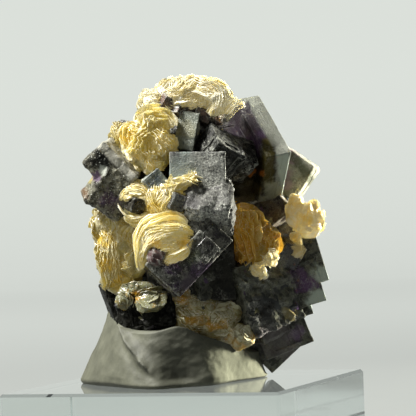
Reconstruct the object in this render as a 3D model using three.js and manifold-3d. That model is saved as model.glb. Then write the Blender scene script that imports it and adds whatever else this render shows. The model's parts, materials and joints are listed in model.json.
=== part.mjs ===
import * as THREE from "three";
import { ConvexGeometry } from "three/addons/geometries/ConvexGeometry.js";
import { mergeVertices } from "three/addons/utils/BufferGeometryUtils.js";
import Module from "manifold-3d";

// A cluster of dark, zoned fluorite cubes grown together with tufts of muscovite mica. It stands in
// a lump of mineral tack on a clear square block. Sizes are in millimetres and +Z is up.
// The part's origin is the centre of the block's underside.
//
// The specimen has axes of its own: X right, Y away and Z up, as somebody sees it who looks at its
// best side, from the middle of the block's top face. SPECIMEN_TURN turns it on the block.

const wasm = await Module();
wasm.setup();

// Driving dimensions
const BLOCK_SIDE = 50;
const BLOCK_HEIGHT = 12;
const BLOCK_CHAMFER = 0.5;
const SPECIMEN_TURN = 19.8;
const GAP = 0.3;
const EDGE = 0.35;
const ETCHED_EDGE = 1.3;
const LEDGE_HEIGHT = 0.4;
const LEDGE_INSET = 0.09;
const LEDGE_UNEVEN = 0.16;
const LEDGE_SHIFT = 0.7;
const PLATE_THICKNESS = 0.7;
const PLATE_SIDES = 6;
const PLATE_CORNER_SWING = 0.5;
const PLATE_REACH = [0.88, 1];
const PLATE_SWING = 24;
const TUFT_HEART = [0.69, 0.87];
const TUFT_SPREAD = 0.62;
const TUFT_TAPER = 1.8;

// Each crystal is a box: where its middle is, its width, depth and height before it is turned, and
// its turn in degrees. Pitch tips its top towards the viewer, roll turns it clockwise in view, and
// yaw turns its right side away. The yaw comes first, then the pitch, then the roll. A crystal may
// have growth ledges on one, two or three pairs of its faces, and etched edges that are cut off.
function box(at, size, [pitch, roll, yaw], ledges = 0, chamfer = 0) {
  return { at, size, pitch, roll, yaw, ledges, chamfer };
}

const FRONT_CRYSTAL = [
  box([3.1, -9.2, 34.6], [9.8, 8.8, 10.8], [0, 2, 0], 1, EDGE),
  box([4.8, -11.2, 30.2], [8.8, 8, 9.2], [50, 2, 2], 0, ETCHED_EDGE),
  box([0.7, -10.8, 22.7], [13.4, 9.4, 8.2], [3, -44, 7], 2, EDGE),
  box([3.5, -15.6, 23.7], [3.6, 2, 4.8], [3, -44, 7]),
  box([-0.6, -14.2, 31.6], [3, 3, 3.2], [10, 24, 20]),
];
const UPPER_RIGHT_CRYSTAL = [
  box([13.9, 1.5, 40.4], [4.8, 11.6, 15], [-38, -26, 26], 2, EDGE),
  box([9.6, 3.5, 38.2], [7, 9, 12], [-38, -26, 26]),
];
const UPPER_CRYSTALS = [
  box([6.9, -7.8, 39.8], [6.2, 6, 7], [-54.7, -17.6, 53.5], 0, EDGE),
  box([10, -4, 38.6], [5, 6, 6], [-40, -10, 40]),
  box([1.6, -6.4, 43.4], [3.7, 5, 6.8], [-8, 13, -6]),
];
const BROWN_CRYSTALS = [
  box([-1.9, -6.6, 48.9], [2.8, 3.4, 2.6], [10, 34, 30]),
  box([-0.2, -6.8, 47.6], [2.6, 3.4, 2.8], [-20, 20, 50]),
  box([1.2, -6.2, 46.8], [2.8, 3.8, 2.4], [14, -24, 20]),
  box([4.2, -5.8, 46.8], [3.2, 3.8, 2.2], [10, 30, 14]),
  box([5.8, -5.2, 45.9], [2.8, 3.8, 2.6], [-30, 14, 34]),
  box([1.8, -3.4, 47.2], [8, 4.6, 2.4], [0, 12, 6]),
];
const RIGHT_CRYSTALS = [
  box([19.7, 7.2, 35.9], [7.5, 6.4, 7.5], [6, 36, -12], 0, EDGE),
  box([16.6, 3.4, 29.8], [5.2, 5, 5.2], [10, 50, -14]),
  box([16.4, 8.6, 25], [8, 8, 9], [-6, -18, 24]),
  box([18.2, -0.6, 22.2], [4.6, 4.4, 4.8], [20, 30, 30]),
];
const LEFT_CRYSTALS = [
  box([-11.4, -7.6, 37.8], [8.8, 8.4, 5.9], [10, 50, 0], 1, EDGE),
  box([-12, -7.2, 33.8], [7.6, 8.4, 7.6], [4, 36, 10], 2, EDGE),
  box([-7.6, -11.6, 31.3], [2.9, 3, 2.9], [8, 20, 30]),
  box([-4.3, -11.4, 35.1], [3.6, 3, 3.2], [6, -38, 12]),
];
const LOWER_RIGHT_PILE = [
  box([18.7, 6, 19.6], [12, 11, 9], [0, -15, 0], 2),
  box([18.7, 5.6, 15.7], [11, 11, 8], [0, -15, 0]),
  box([19, 5, 13.1], [6, 8, 6], [0, -15, 0]),
  box([17, 7, 8.2], [9.2, 9, 8], [0, -20, 0]),
  box([15.2, 7.2, 5.5], [7, 6.6, 6.6], [8, -41, 0]),
  box([11.6, 0.4, 14.6], [12, 12, 13], [4, -15, 36], 1, EDGE),
  box([6, -1, 15.6], [11, 11, 10], [6, -12, 20]),
  box([14, 2.6, 9.8], [6, 6, 6], [10, -20, 24]),
];
const LOWER_LEFT_CRYSTALS = [
  box([-6.2, -3.6, 12.4], [10.4, 10, 6.4], [-4, -6, -6], 0, EDGE),
  box([-12.2, 0.4, 14.8], [3.4, 8, 7], [0, -18, 8]),
  box([-4.3, -15.2, 22.4], [3.2, 5, 3.2], [0, 20, 0]),
];
const BACK_CRYSTALS = [
  box([-5, 5.4, 38], [12, 12, 12], [-14, 18, -22], 1, EDGE),
  box([5.4, 9, 31], [13, 12, 12], [10, -12, 30], 2, EDGE),
  box([-7.6, 7.6, 24.4], [11, 11, 11], [-10, 8, 36], 2),
  box([3.6, 9.4, 19], [11, 10, 10], [6, 20, -14], 1),
  box([-4.4, 7.2, 14.6], [9, 9, 9], [14, -16, 24]),
  box([3.6, 5.6, 44.4], [8, 8, 8], [-20, 10, 40]),
];
const CORE_CRYSTALS = [
  box([2.4, 1.4, 37], [12.6, 10.8, 13.6], [0, 0, 0]),
  box([1.4, 0, 24], [16, 15, 20], [0, 0, 0]),
  box([-7, -3.4, 35], [9, 9, 12], [0, 0, 0]),
];
const FLUORITE = [
  ...FRONT_CRYSTAL,
  ...UPPER_RIGHT_CRYSTAL,
  ...UPPER_CRYSTALS,
  ...BROWN_CRYSTALS,
  ...RIGHT_CRYSTALS,
  ...LEFT_CRYSTALS,
  ...LOWER_RIGHT_PILE,
  ...LOWER_LEFT_CRYSTALS,
  ...BACK_CRYSTALS,
  ...CORE_CRYSTALS,
];

// Each tuft of mica fills an egg shape. It has its middle, its width, depth and height before it is
// turned, its turn in degrees, the number of its plates, and how far they open, in degrees. The
// plates stand behind each other along the depth and open like the leaves of a book.
function tuft(name, at, size, [pitch, roll, yaw], plates, opening, colour) {
  return { name, at, size, pitch, roll, yaw, plates, opening, colour };
}

const MICA_ROUGHNESS = 0.4;
const SILVER_GOLD = 0xd9c48c;
const GOLD = 0xc9a552;
const AMBER = 0xb87f33;
const OLIVE = 0x9a8a52;
const DARK_FLUORITE = { colour: 0x35303c, roughness: 0.3 };
const GREY_TACK = { colour: 0x9c9a86, roughness: 0.8 };
const CLEAR_ACRYLIC = { colour: 0xdfe8e8, roughness: 0.05 };

const MICAS = [
  tuft("top_mica", [2.1, -3.8, 50.1], [10, 20.4, 9.4], [0, 1, 84], 6, 80, SILVER_GOLD),
  tuft("upper_left_mica", [-4.9, -7.4, 42.4], [8, 11.4, 12.8], [0, -8, 60], 5, 90, GOLD),
  tuft("shoulder_mica", [-9.8, -4, 43], [6, 5, 6], [0, 20, 70], 2, 40, AMBER),
  tuft("centre_mica", [-5.4, -10.8, 31.4], [7.4, 12.4, 8.8], [0, -12, 70], 5, 90, GOLD),
  tuft("crest_mica", [0.2, -14.8, 34], [5.4, 3, 4.6], [0, -30, 0], 2, 40, GOLD),
  tuft("front_mica_rosette", [-2.6, -14.2, 25.6], [10.4, 6.6, 8.8], [10, 14, 0], 5, 120, SILVER_GOLD),
  tuft("left_mica", [-11.7, -2, 22.8], [9.4, 8.6, 16], [0, -10, 36], 4, 70, AMBER),
  tuft("lower_left_mica", [-7.2, -8.4, 15], [9.8, 7, 6.4], [0, 6, 20], 4, 110, OLIVE),
  tuft("right_mica", [11.9, -3.8, 24.8], [10.6, 9, 13.6], [0, -8, 40], 5, 90, AMBER),
  tuft("right_mica_rosette", [21.4, 0.6, 26.6], [7.8, 7, 9.4], [0, -8, 10], 4, 100, GOLD),
  tuft("pearl_mica", [14.6, -6.3, 20.6], [5, 4, 4.4], [0, 30, 30], 2, 40, SILVER_GOLD),
  tuft("lower_mica", [1.6, -6.6, 11.6], [8.6, 18, 8.6], [0, 20, 78], 6, 80, OLIVE),
  tuft("back_mica", [-1.6, 12, 33.6], [9, 8, 10], [0, 12, 0], 4, 90, GOLD),
  tuft("back_low_mica", [-3, 13, 21], [9, 6, 8], [0, -20, 0], 3, 80, AMBER),
];

// The tack's foot on the block, seen from above, and the rim that it was pressed up to against the
// specimen: X, Y and, for the rim, Z. Both run the same way round, starting at the left.
const PUTTY_FOOT = [
  [-18.9, 6.5], [-18.1, 0.5], [-13.8, -7], [-9, -14.2], [-4.8, -17.3], [-0.2, -15], [4.8, -12.8],
  [8, -7], [11.4, -1.4], [14.2, 3.6], [13.6, 8], [8, 12], [0, 13.5], [-10.5, 12.5],
];
const PUTTY_RIM = [
  [-13.4, 4.6, 12.6], [-13, 0.8, 13], [-11.8, -5.4, 12], [-9.4, -9.6, 9.7], [-5.9, -13.6, 9.4],
  [-0.8, -13.4, 10.3], [2.5, -12.2, 8.8], [6.4, -9.2, 7.1], [11, -2.6, 5], [13.2, 4.2, 4.6],
  [11, 7.4, 5.6], [7, 9, 7.4], [0, 10.4, 9], [-9, 9.6, 10.6],
];
const PUTTY_MIDDLE = [-2, -1];
const PUTTY_TOP = 9.8;
const PUTTY_SIDES = 28;
const PUTTY_LEVELS = 5;
const PUTTY_LIP = 0.7;
const PUTTY_DENT = 0.35;
const DENT_TURN_PER_SIDE = 1.9;
const DENT_TURN_PER_LEVEL = 0.8;

const DEGREE = Math.PI / 180;
const WELD = 1e-4;
const CLUSTER_SEED = 7;
const FIRST_TUFT_SEED = 101;
const SERIES_FACTOR = 1664525;
const SERIES_STEP = 1013904223;
const SERIES_RANGE = 2 ** 32;

// A repeatable series of numbers from 0 to 1, started by the seed.
function seeded(seed) {
  let state = seed;
  return () => {
    state = (state * SERIES_FACTOR + SERIES_STEP) % SERIES_RANGE;
    return state / SERIES_RANGE;
  };
}

function between([low, high], random) {
  return low + (high - low) * random();
}

function solidOf(geometry) {
  const bare = geometry.clone();
  bare.deleteAttribute("normal");
  bare.deleteAttribute("uv");
  const merged = mergeVertices(bare, WELD);
  return new wasm.Manifold(new wasm.Mesh({
    numProp: 3,
    vertProperties: merged.attributes.position.array,
    triVerts: Uint32Array.from(merged.index.array),
  }));
}

function geometryOf(solid) {
  const mesh = solid.getMesh();
  const geometry = new THREE.BufferGeometry();
  geometry.setAttribute("position", new THREE.BufferAttribute(mesh.vertProperties, 3));
  geometry.setIndex(new THREE.BufferAttribute(mesh.triVerts, 1));
  geometry.computeVertexNormals();
  return geometry;
}

function joined(solids) {
  return solids.reduce((whole, solid) => whole.add(solid));
}

function largestBody(solid) {
  const bodies = solid.decompose();
  return bodies.reduce((best, body) => (body.volume() > best.volume() ? body : best));
}

function pose({ at, pitch, roll, yaw }) {
  const turn = new THREE.Euler(pitch * DEGREE, roll * DEGREE, yaw * DEGREE, "YXZ");
  return new THREE.Matrix4().compose(
    new THREE.Vector3(...at),
    new THREE.Quaternion().setFromEuler(turn),
    new THREE.Vector3(1, 1, 1),
  );
}

// A box whose edges and corners are cut off by the chamfer.
function chamferedBox([width, depth, height], chamfer) {
  const corners = [];
  for (const x of [-1, 1]) {
    for (const y of [-1, 1]) {
      for (const z of [-1, 1]) {
        const [a, b, c] = [x * width / 2, y * depth / 2, z * height / 2];
        corners.push(new THREE.Vector3(a, b - y * chamfer, c - z * chamfer));
        corners.push(new THREE.Vector3(a - x * chamfer, b, c - z * chamfer));
        corners.push(new THREE.Vector3(a - x * chamfer, b - y * chamfer, c));
      }
    }
  }
  return new ConvexGeometry(corners);
}

// Growth ledges: thin plates, a little smaller than a crystal's faces, pushed towards one corner.
function ledgePlates({ size, ledges }, random) {
  const plates = [];
  for (let axis = 0; axis < ledges; axis += 1) {
    const plate = size.map((length) => length * (1 - 2 * LEDGE_INSET - LEDGE_UNEVEN * random()));
    plate[axis] = size[axis] + 2 * LEDGE_HEIGHT;
    const shift = size.map((length, i) => (length - plate[i]) * (random() - 0.5) * LEDGE_SHIFT);
    shift[axis] = 0;
    plates.push(new THREE.BoxGeometry(...plate).translate(...shift));
  }
  return plates;
}

function crystal(spec, random) {
  const body = spec.chamfer > 0
    ? chamferedBox(spec.size, spec.chamfer)
    : new THREE.BoxGeometry(...spec.size);
  const shapes = [body, ...ledgePlates(spec, random)];
  return joined(shapes.map((shape) => solidOf(shape.applyMatrix4(pose(spec)))));
}

function fluoriteCluster() {
  const random = seeded(CLUSTER_SEED);
  return largestBody(joined(FLUORITE.map((spec) => crystal(spec, random))));
}

// The room that the crystals take up, with the gap around them. Neighbours are cut by it.
function fluoriteRoom() {
  const room = 2 * (GAP + LEDGE_HEIGHT);
  const boxes = FLUORITE.map((spec) => {
    const extra = spec.ledges > 0 ? room : 2 * GAP;
    const geometry = new THREE.BoxGeometry(...spec.size.map((length) => length + extra));
    return solidOf(geometry.applyMatrix4(pose(spec)));
  });
  return joined(boxes);
}

// One plate of mica: a flat leaf with an uneven outline, standing in the tuft's XZ plane.
function micaPlate(width, height, random) {
  const outline = [];
  for (let i = 0; i < PLATE_SIDES; i += 1) {
    const angle = (i + PLATE_CORNER_SWING * random()) * 2 * Math.PI / PLATE_SIDES;
    const reach = between(PLATE_REACH, random);
    outline.push(new THREE.Vector2(
      Math.cos(angle) * reach * width / 2,
      Math.sin(angle) * reach * height / 2,
    ));
  }
  const leaf = new THREE.ExtrudeGeometry(new THREE.Shape(outline), {
    depth: PLATE_THICKNESS,
    bevelEnabled: false,
  });
  leaf.translate(0, 0, -PLATE_THICKNESS / 2);
  leaf.rotateX(Math.PI / 2);
  return leaf;
}

// The rough heart that a tuft's plates grow out of.
function micaHeart(size, random) {
  const heart = new THREE.DodecahedronGeometry(1, 0);
  heart.deleteAttribute("normal");
  heart.deleteAttribute("uv");
  const merged = mergeVertices(heart, WELD);
  const position = merged.attributes.position;
  for (let i = 0; i < position.count; i += 1) {
    const reach = between(TUFT_HEART, random);
    position.setXYZ(
      i,
      position.getX(i) * reach * size[0] / 2,
      position.getY(i) * reach * size[1] / 2,
      position.getZ(i) * reach * size[2] / 2,
    );
  }
  return merged;
}

// A tuft: plates one behind another that open like a book, on their rough heart.
function micaTuft(spec, random) {
  const [width, depth, height] = spec.size;
  const solids = [solidOf(micaHeart(spec.size, random).applyMatrix4(pose(spec)))];
  for (let i = 0; i < spec.plates; i += 1) {
    const along = i / (spec.plates - 1) - 0.5;
    const shrink = Math.sqrt(1 - TUFT_TAPER * along * along);
    const leaf = micaPlate(width * shrink, height * shrink, random);
    leaf.rotateZ((random() - 0.5) * PLATE_SWING * DEGREE);
    leaf.rotateX(spec.opening * along * DEGREE);
    leaf.translate(0, along * depth * TUFT_SPREAD, 0);
    solids.push(solidOf(leaf.applyMatrix4(pose(spec))));
  }
  return joined(solids);
}

// The room that a tuft takes up: the tightest skin around its plates, with the gap around it.
function tuftRoom(tuftSolid, { at }) {
  const middle = new THREE.Vector3(...at);
  const position = geometryOf(tuftSolid).attributes.position;
  const points = [];
  for (let i = 0; i < position.count; i += 1) {
    const point = new THREE.Vector3().fromBufferAttribute(position, i);
    const outward = point.clone().sub(middle).normalize();
    points.push(point.addScaledVector(outward, GAP));
  }
  return solidOf(new ConvexGeometry(points));
}

// Every tuft keeps clear of the crystals and of the tufts before it.
function micaTufts(room) {
  const tufts = [];
  let taken = room;
  MICAS.forEach((spec, index) => {
    const whole = micaTuft(spec, seeded(FIRST_TUFT_SEED + index));
    tufts.push({ spec, solid: largestBody(whole.subtract(taken)) });
    taken = taken.add(tuftRoom(whole, spec));
  });
  return { tufts, taken };
}

// A smooth closed curve through the points, sampled once for every side of the tack.
function smoothRing(points) {
  const through = points.map(([x, y, z = 0]) => new THREE.Vector3(x, y, z));
  return new THREE.CatmullRomCurve3(through, true).getPoints(PUTTY_SIDES).slice(0, PUTTY_SIDES);
}

// The tack: rings from the foot up to the rim, with a rolled lip at the foot and pressed dents.
function puttyLump() {
  const foot = smoothRing(PUTTY_FOOT);
  const rim = smoothRing(PUTTY_RIM);
  const middle = new THREE.Vector3(...PUTTY_MIDDLE, 0);
  const vertices = [];
  for (let level = 0; level <= PUTTY_LEVELS; level += 1) {
    const up = level / PUTTY_LEVELS;
    for (let side = 0; side < PUTTY_SIDES; side += 1) {
      const point = foot[side].clone().lerp(rim[side], up);
      const wave = Math.sin(side * DENT_TURN_PER_SIDE + level * DENT_TURN_PER_LEVEL);
      const dent = PUTTY_DENT * wave * Math.sin(up * Math.PI);
      const outward = point.clone().sub(middle).setZ(0).normalize();
      point.addScaledVector(outward, level === 0 ? -PUTTY_LIP : dent);
      vertices.push(point.x, point.y, point.z + GAP);
    }
  }
  vertices.push(middle.x, middle.y, GAP, middle.x, middle.y, PUTTY_TOP);
  return ringStack(vertices, PUTTY_SIDES, PUTTY_LEVELS);
}

// Faces of a stack of rings, closed by the last two vertices: the foot's middle and the top's.
function ringStack(vertices, sides, levels) {
  const index = [];
  const bottom = sides * (levels + 1);
  for (let side = 0; side < sides; side += 1) {
    const next = (side + 1) % sides;
    for (let level = 0; level < levels; level += 1) {
      const low = level * sides;
      const high = low + sides;
      index.push(low + side, low + next, high + next, low + side, high + next, high + side);
    }
    index.push(bottom, next, side);
    index.push(bottom + 1, levels * sides + side, levels * sides + next);
  }
  const geometry = new THREE.BufferGeometry();
  geometry.setAttribute("position", new THREE.Float32BufferAttribute(vertices, 3));
  geometry.setIndex(index);
  return geometry;
}

function named(name, geometry, { colour, roughness }) {
  const material = new THREE.MeshStandardMaterial({ color: colour, roughness, metalness: 0 });
  const mesh = new THREE.Mesh(geometry, material);
  mesh.name = name;
  return mesh;
}

function acrylicBlock() {
  const geometry = chamferedBox([BLOCK_SIDE, BLOCK_SIDE, BLOCK_HEIGHT], BLOCK_CHAMFER);
  const block = named("acrylic_block", geometry, CLEAR_ACRYLIC);
  block.position.z = BLOCK_HEIGHT / 2;
  return block;
}

function specimen() {
  const group = new THREE.Group();
  group.rotation.z = SPECIMEN_TURN * DEGREE;
  group.position.z = BLOCK_HEIGHT;
  group.add(named("fluorite_cluster", geometryOf(fluoriteCluster()), DARK_FLUORITE));
  const { tufts, taken } = micaTufts(fluoriteRoom());
  for (const { spec, solid } of tufts) {
    const finish = { colour: spec.colour, roughness: MICA_ROUGHNESS };
    group.add(named(spec.name, geometryOf(solid), finish));
  }
  const putty = largestBody(solidOf(puttyLump()).subtract(taken));
  group.add(named("putty", geometryOf(putty), GREY_TACK));
  return group;
}

const part = new THREE.Group();
part.add(acrylicBlock());
part.add(specimen());

export default part;
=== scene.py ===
# %% [markdown]
# # A phantom fluorite with golden mica, on a clear block
#
# The object is a mineral specimen: dark fluorite cubes that grew through each other, with tufts of
# golden muscovite mica between them. It is pressed into a lump of grey tack, which sits on a clear
# acrylic block. A phantom is an earlier stage of a crystal that still shows inside it.
#
# The CAD model holds the sizes and places. This lesson builds the fine surface around it: etched
# and stepped crystals with coloured zones inside, mica as hundreds of thin leaves, and tack with
# finger ridges. The first cell loads the CAD model.

# %% Load the frame
import json
from math import cos, pi, radians, sin

import bpy
import numpy as np
from mathutils import Euler, Matrix, Vector


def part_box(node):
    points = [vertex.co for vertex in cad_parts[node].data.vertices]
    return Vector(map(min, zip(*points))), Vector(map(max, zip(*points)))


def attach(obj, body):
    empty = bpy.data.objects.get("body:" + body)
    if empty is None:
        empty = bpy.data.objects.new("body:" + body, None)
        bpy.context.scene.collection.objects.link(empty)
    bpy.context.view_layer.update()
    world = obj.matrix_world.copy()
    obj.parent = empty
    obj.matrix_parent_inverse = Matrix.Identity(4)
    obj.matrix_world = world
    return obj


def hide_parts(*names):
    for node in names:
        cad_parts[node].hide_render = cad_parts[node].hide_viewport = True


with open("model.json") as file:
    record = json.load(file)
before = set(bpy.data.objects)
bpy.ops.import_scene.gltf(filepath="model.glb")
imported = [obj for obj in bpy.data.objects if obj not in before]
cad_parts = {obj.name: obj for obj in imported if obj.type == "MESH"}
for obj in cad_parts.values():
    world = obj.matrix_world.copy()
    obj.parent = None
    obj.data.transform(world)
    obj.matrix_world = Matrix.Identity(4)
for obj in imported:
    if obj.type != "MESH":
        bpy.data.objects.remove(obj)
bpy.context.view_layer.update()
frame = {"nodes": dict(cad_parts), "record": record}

# %% [markdown]
# ## One set of axes for the whole specimen
#
# The specimen is turned on its block, as in the photograph. It is easiest to place crystals in axes
# of its own: X right, Y away and Z up for somebody who looks at its best side, in millimetres from
# the middle of the block's top. One matrix then carries every finished mesh to the frame's metres.

# %% The specimen's axes
MM = 0.001
SPECIMEN_TURN = 19.8
BLOCK_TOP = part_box("acrylic_block")[1][2]
TO_FRAME = (
    Matrix.Translation((0, 0, BLOCK_TOP))
    @ Matrix.Rotation(radians(SPECIMEN_TURN), 4, "Z")
    @ Matrix.Scale(MM, 4)
)
DRAW = np.random.default_rng(20)


def pose(at, turn):
    """Where a crystal or a tuft sits: yaw first, then pitch, then roll, then its place."""
    pitch, roll, yaw = (radians(angle) for angle in turn)
    turned = Matrix.Rotation(roll, 4, "Y") @ Matrix.Rotation(pitch, 4, "X")
    return Matrix.Translation(at) @ turned @ Matrix.Rotation(yaw, 4, "Z")


def moved(points, matrix):
    """The points, an array with three columns, carried by the matrix."""
    m = np.array(matrix)
    return points @ m[:3, :3].T + m[:3, 3]


def unit(vectors):
    return vectors / np.linalg.norm(vectors, axis=-1, keepdims=True)


WAVES_IN_OCTAVE = 6
WAVE_SUM_HEIGHT = 3.2


def wander(points, per_mm, seed):
    """A smooth random height at each point, from about -1 to 1: a sum of crossing waves."""
    waves = np.random.default_rng(seed + 1000)
    total = np.zeros(len(points))
    for octave in range(2):
        for _ in range(WAVES_IN_OCTAVE):
            way = waves.normal(size=3)
            way *= 2 * pi * per_mm * 2**octave / np.linalg.norm(way)
            total += np.sin(points @ way + waves.uniform(0, 2 * pi)) * 0.5**octave
    return total / WAVE_SUM_HEIGHT


print("block top at", round(BLOCK_TOP / MM, 2), "mm")

# %% [markdown]
# ## Camera, floor and light
#
# The photograph was taken from far away with a long lens, level, and tilted by two degrees. The
# background is a smooth pale grey-green. A floor that curves up into a backdrop gives that without
# a horizon line. A large soft light stands above on the left. A small one low on the right rakes
# over the tack and gives the edge of shade that crosses it. A wide card in front fills the shade.

# %% Camera
CAMERA_AT = Vector((4.7, -413, 30.3))
CAMERA_ROLL = 2.1
FOCAL_PIXELS = 2350
PICTURE_PIXELS = 416
SENSOR = 36

camera_data = bpy.data.cameras.new("photo_camera")
camera_data.sensor_width = SENSOR
camera_data.lens = SENSOR * FOCAL_PIXELS / PICTURE_PIXELS
camera_data.clip_start = 10 * MM
camera_data.clip_end = 20
camera = bpy.data.objects.new("photo_camera", camera_data)
bpy.context.scene.collection.objects.link(camera)
camera.location = TO_FRAME @ CAMERA_AT
level = Euler((radians(90), 0, radians(SPECIMEN_TURN))).to_matrix()
camera.rotation_euler = (level @ Matrix.Rotation(radians(-CAMERA_ROLL), 3, "Z")).to_euler()
bpy.context.scene.camera = camera
print("lens", round(camera_data.lens, 1), "mm")

# %% Lights


SPECIMEN_MIDDLE = (3, 0, 26)
LOW_FRONT = (12, -4, 16)


def softbox(name, at, size, watts, colour, target=SPECIMEN_MIDDLE, spread=180):
    """A square area light, placed in the specimen's axes and turned to a target."""
    data = bpy.data.lights.new(name, "AREA")
    data.size = size * MM
    data.energy = watts
    data.color = colour
    data.spread = radians(spread)
    light = bpy.data.objects.new(name, data)
    bpy.context.scene.collection.objects.link(light)
    light.location = TO_FRAME @ Vector(at)
    aim = TO_FRAME @ Vector(target) - light.location
    light.rotation_euler = aim.to_track_quat("-Z", "Y").to_euler()
    return light


softbox("key_light", (-380, -110, 610), 170, 17, (1, 0.985, 0.95))
side = softbox("side_light", (380, 230, 60), 60, 2.6, (1, 0.97, 0.9), LOW_FRONT, 60)
side.visible_glossy = False
side.visible_transmission = False
front = softbox("front_card", (-430, -400, 190), 300, 0.85, (0.97, 0.98, 1))
front.visible_glossy = False

world = bpy.data.worlds.new("studio")
world.use_nodes = True
world.node_tree.nodes["Background"].inputs["Color"].default_value = (0.9, 0.94, 0.92, 1)
world.node_tree.nodes["Background"].inputs["Strength"].default_value = 0.1
bpy.context.scene.world = world
bpy.context.scene.view_settings.view_transform = "Standard"

# %% [markdown]
# ## Shader maths written as Python
#
# Each finish below is a small sum: noise times a mask, plus a rim. Written as nodes it would take
# pages, so one class wraps a node's output and turns +, -, * and ** into Math nodes. A second class
# makes any node in one call, first its settings and then its sockets. Colours go through Mix
# nodes, because a Math node would turn them grey.

# %% A wire that does sums


class Wire:
    """One output of a node. Arithmetic on it adds Math nodes."""

    def __init__(self, finish, socket):
        self.finish = finish
        self.socket = socket

    def math(self, operation, *values):
        sockets = dict(enumerate(values))
        return self.finish.node("ShaderNodeMath", {"operation": operation}, sockets)

    def __add__(self, other):
        return self.math("ADD", self, other)

    def __sub__(self, other):
        return self.math("SUBTRACT", self, other)

    def __rsub__(self, other):
        return self.math("SUBTRACT", other, self)

    def __mul__(self, other):
        return self.math("MULTIPLY", self, other)

    __radd__ = __add__
    __rmul__ = __mul__

    def __pow__(self, other):
        return self.math("POWER", self, other)

    def __abs__(self):
        return self.math("ABSOLUTE", self)

    def fraction(self):
        """What is left after the whole number is taken off."""
        return self.math("FRACT", self)

    def smooth(self, low, high):
        """0 below low, 1 above high, and a soft step between them."""
        settings = {"interpolation_type": "SMOOTHSTEP"}
        return self.finish.node("ShaderNodeMapRange", settings, {0: self, 1: low, 2: high})


# %% A finish that makes any node in one call


class Finish:
    """A material that is built up from nodes. Its place wire is the spot on the object, in mm."""

    def __init__(self, name):
        self.material = bpy.data.materials.new(name)
        self.material.use_nodes = True
        self.material.node_tree.nodes.clear()
        spot = self.node("ShaderNodeTexCoord", out="Object")
        self.place = self.vector("SCALE", {0: spot, "Scale": 1 / MM})

    def node(self, kind, settings=None, sockets=None, out=0):
        """A new node with its settings, then the values or wires of its sockets."""
        made = self.material.node_tree.nodes.new(kind)
        for key, value in (settings or {}).items():
            setattr(made, key, value)
        for key, value in (sockets or {}).items():
            if isinstance(value, Wire):
                self.material.node_tree.links.new(value.socket, made.inputs[key])
            else:
                made.inputs[key].default_value = value
        return Wire(self, made.outputs[out])

    def vector(self, operation, sockets, out="Vector"):
        return self.node("ShaderNodeVectorMath", {"operation": operation}, sockets, out)

    def noise(self, per_mm, detail=3.0, rough=0.55, place=None):
        sockets = {"Vector": place or self.place, "Scale": per_mm}
        sockets |= {"Detail": detail, "Roughness": rough}
        return self.node("ShaderNodeTexNoise", None, sockets)

    def mix(self, factor, first, second):
        sockets = {0: factor, 6: first, 7: second}
        return self.node("ShaderNodeMix", {"data_type": "RGBA"}, sockets, out=2)

    def bump(self, height, depth_mm, strength=1.0):
        sockets = {"Height": height, "Distance": depth_mm * MM, "Strength": strength}
        return self.node("ShaderNodeBump", None, sockets, out="Normal")

    def principled(self, **sockets):
        named = {key.replace("_", " "): value for key, value in sockets.items()}
        return self.node("ShaderNodeBsdfPrincipled", None, named)

    def absorption(self, tint, density):
        sockets = {"Color": tint, "Density": density}
        return self.node("ShaderNodeVolumeAbsorption", None, sockets)

    def close(self, surface, volume=None):
        """Joins the surface and the volume to the output, and hands over the material."""
        end = self.material.node_tree.nodes.new("ShaderNodeOutputMaterial")
        for key, wire in (("Surface", surface), ("Volume", volume)):
            if wire:
                self.material.node_tree.links.new(wire.socket, end.inputs[key])
        return self.material


def grey(value):
    return (value, value, value, 1)


print("a finish can:", ", ".join(name for name in vars(Finish) if not name.startswith("_")))

# %% [markdown]
# Many masks below say where on the specimen something lies: a violet patch in the large crystal, or
# the part of the backdrop that glows. These three read a spot's place in the specimen's own axes.

# %% Where a spot is


def share_along(finish, wire, right, away):
    """The part of a vector that lies along a level line of the specimen's axes."""
    c, s = cos(radians(SPECIMEN_TURN)), sin(radians(SPECIMEN_TURN))
    line = (right * c - away * s, right * s + away * c, 0)
    return finish.vector("DOT_PRODUCT", {0: wire, 1: line}, out="Value")


def spot_right(finish):
    return share_along(finish, finish.place, 1, 0)


def spot_away(finish):
    return share_along(finish, finish.place, 0, 1)


def spot_height(finish):
    """How high the spot is above the block's top, in mm."""
    up = finish.node("ShaderNodeSeparateXYZ", None, {0: finish.place}, out=2)
    return up - BLOCK_TOP / MM


print("right in the frame:", [round(x, 3) for x in (TO_FRAME.to_3x3() @ Vector((1, 0, 0))) / MM])

# %% [markdown]
# ## The backdrop
#
# One sheet serves as floor and backdrop: flat under the block, then a wide curve, then upright. Its
# section is a short list of points. From the block backwards it glows, a little more on the curve
# and at the top, so that the background has an even pale tone that doesn't hang on the lights.

# %% Backdrop


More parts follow.
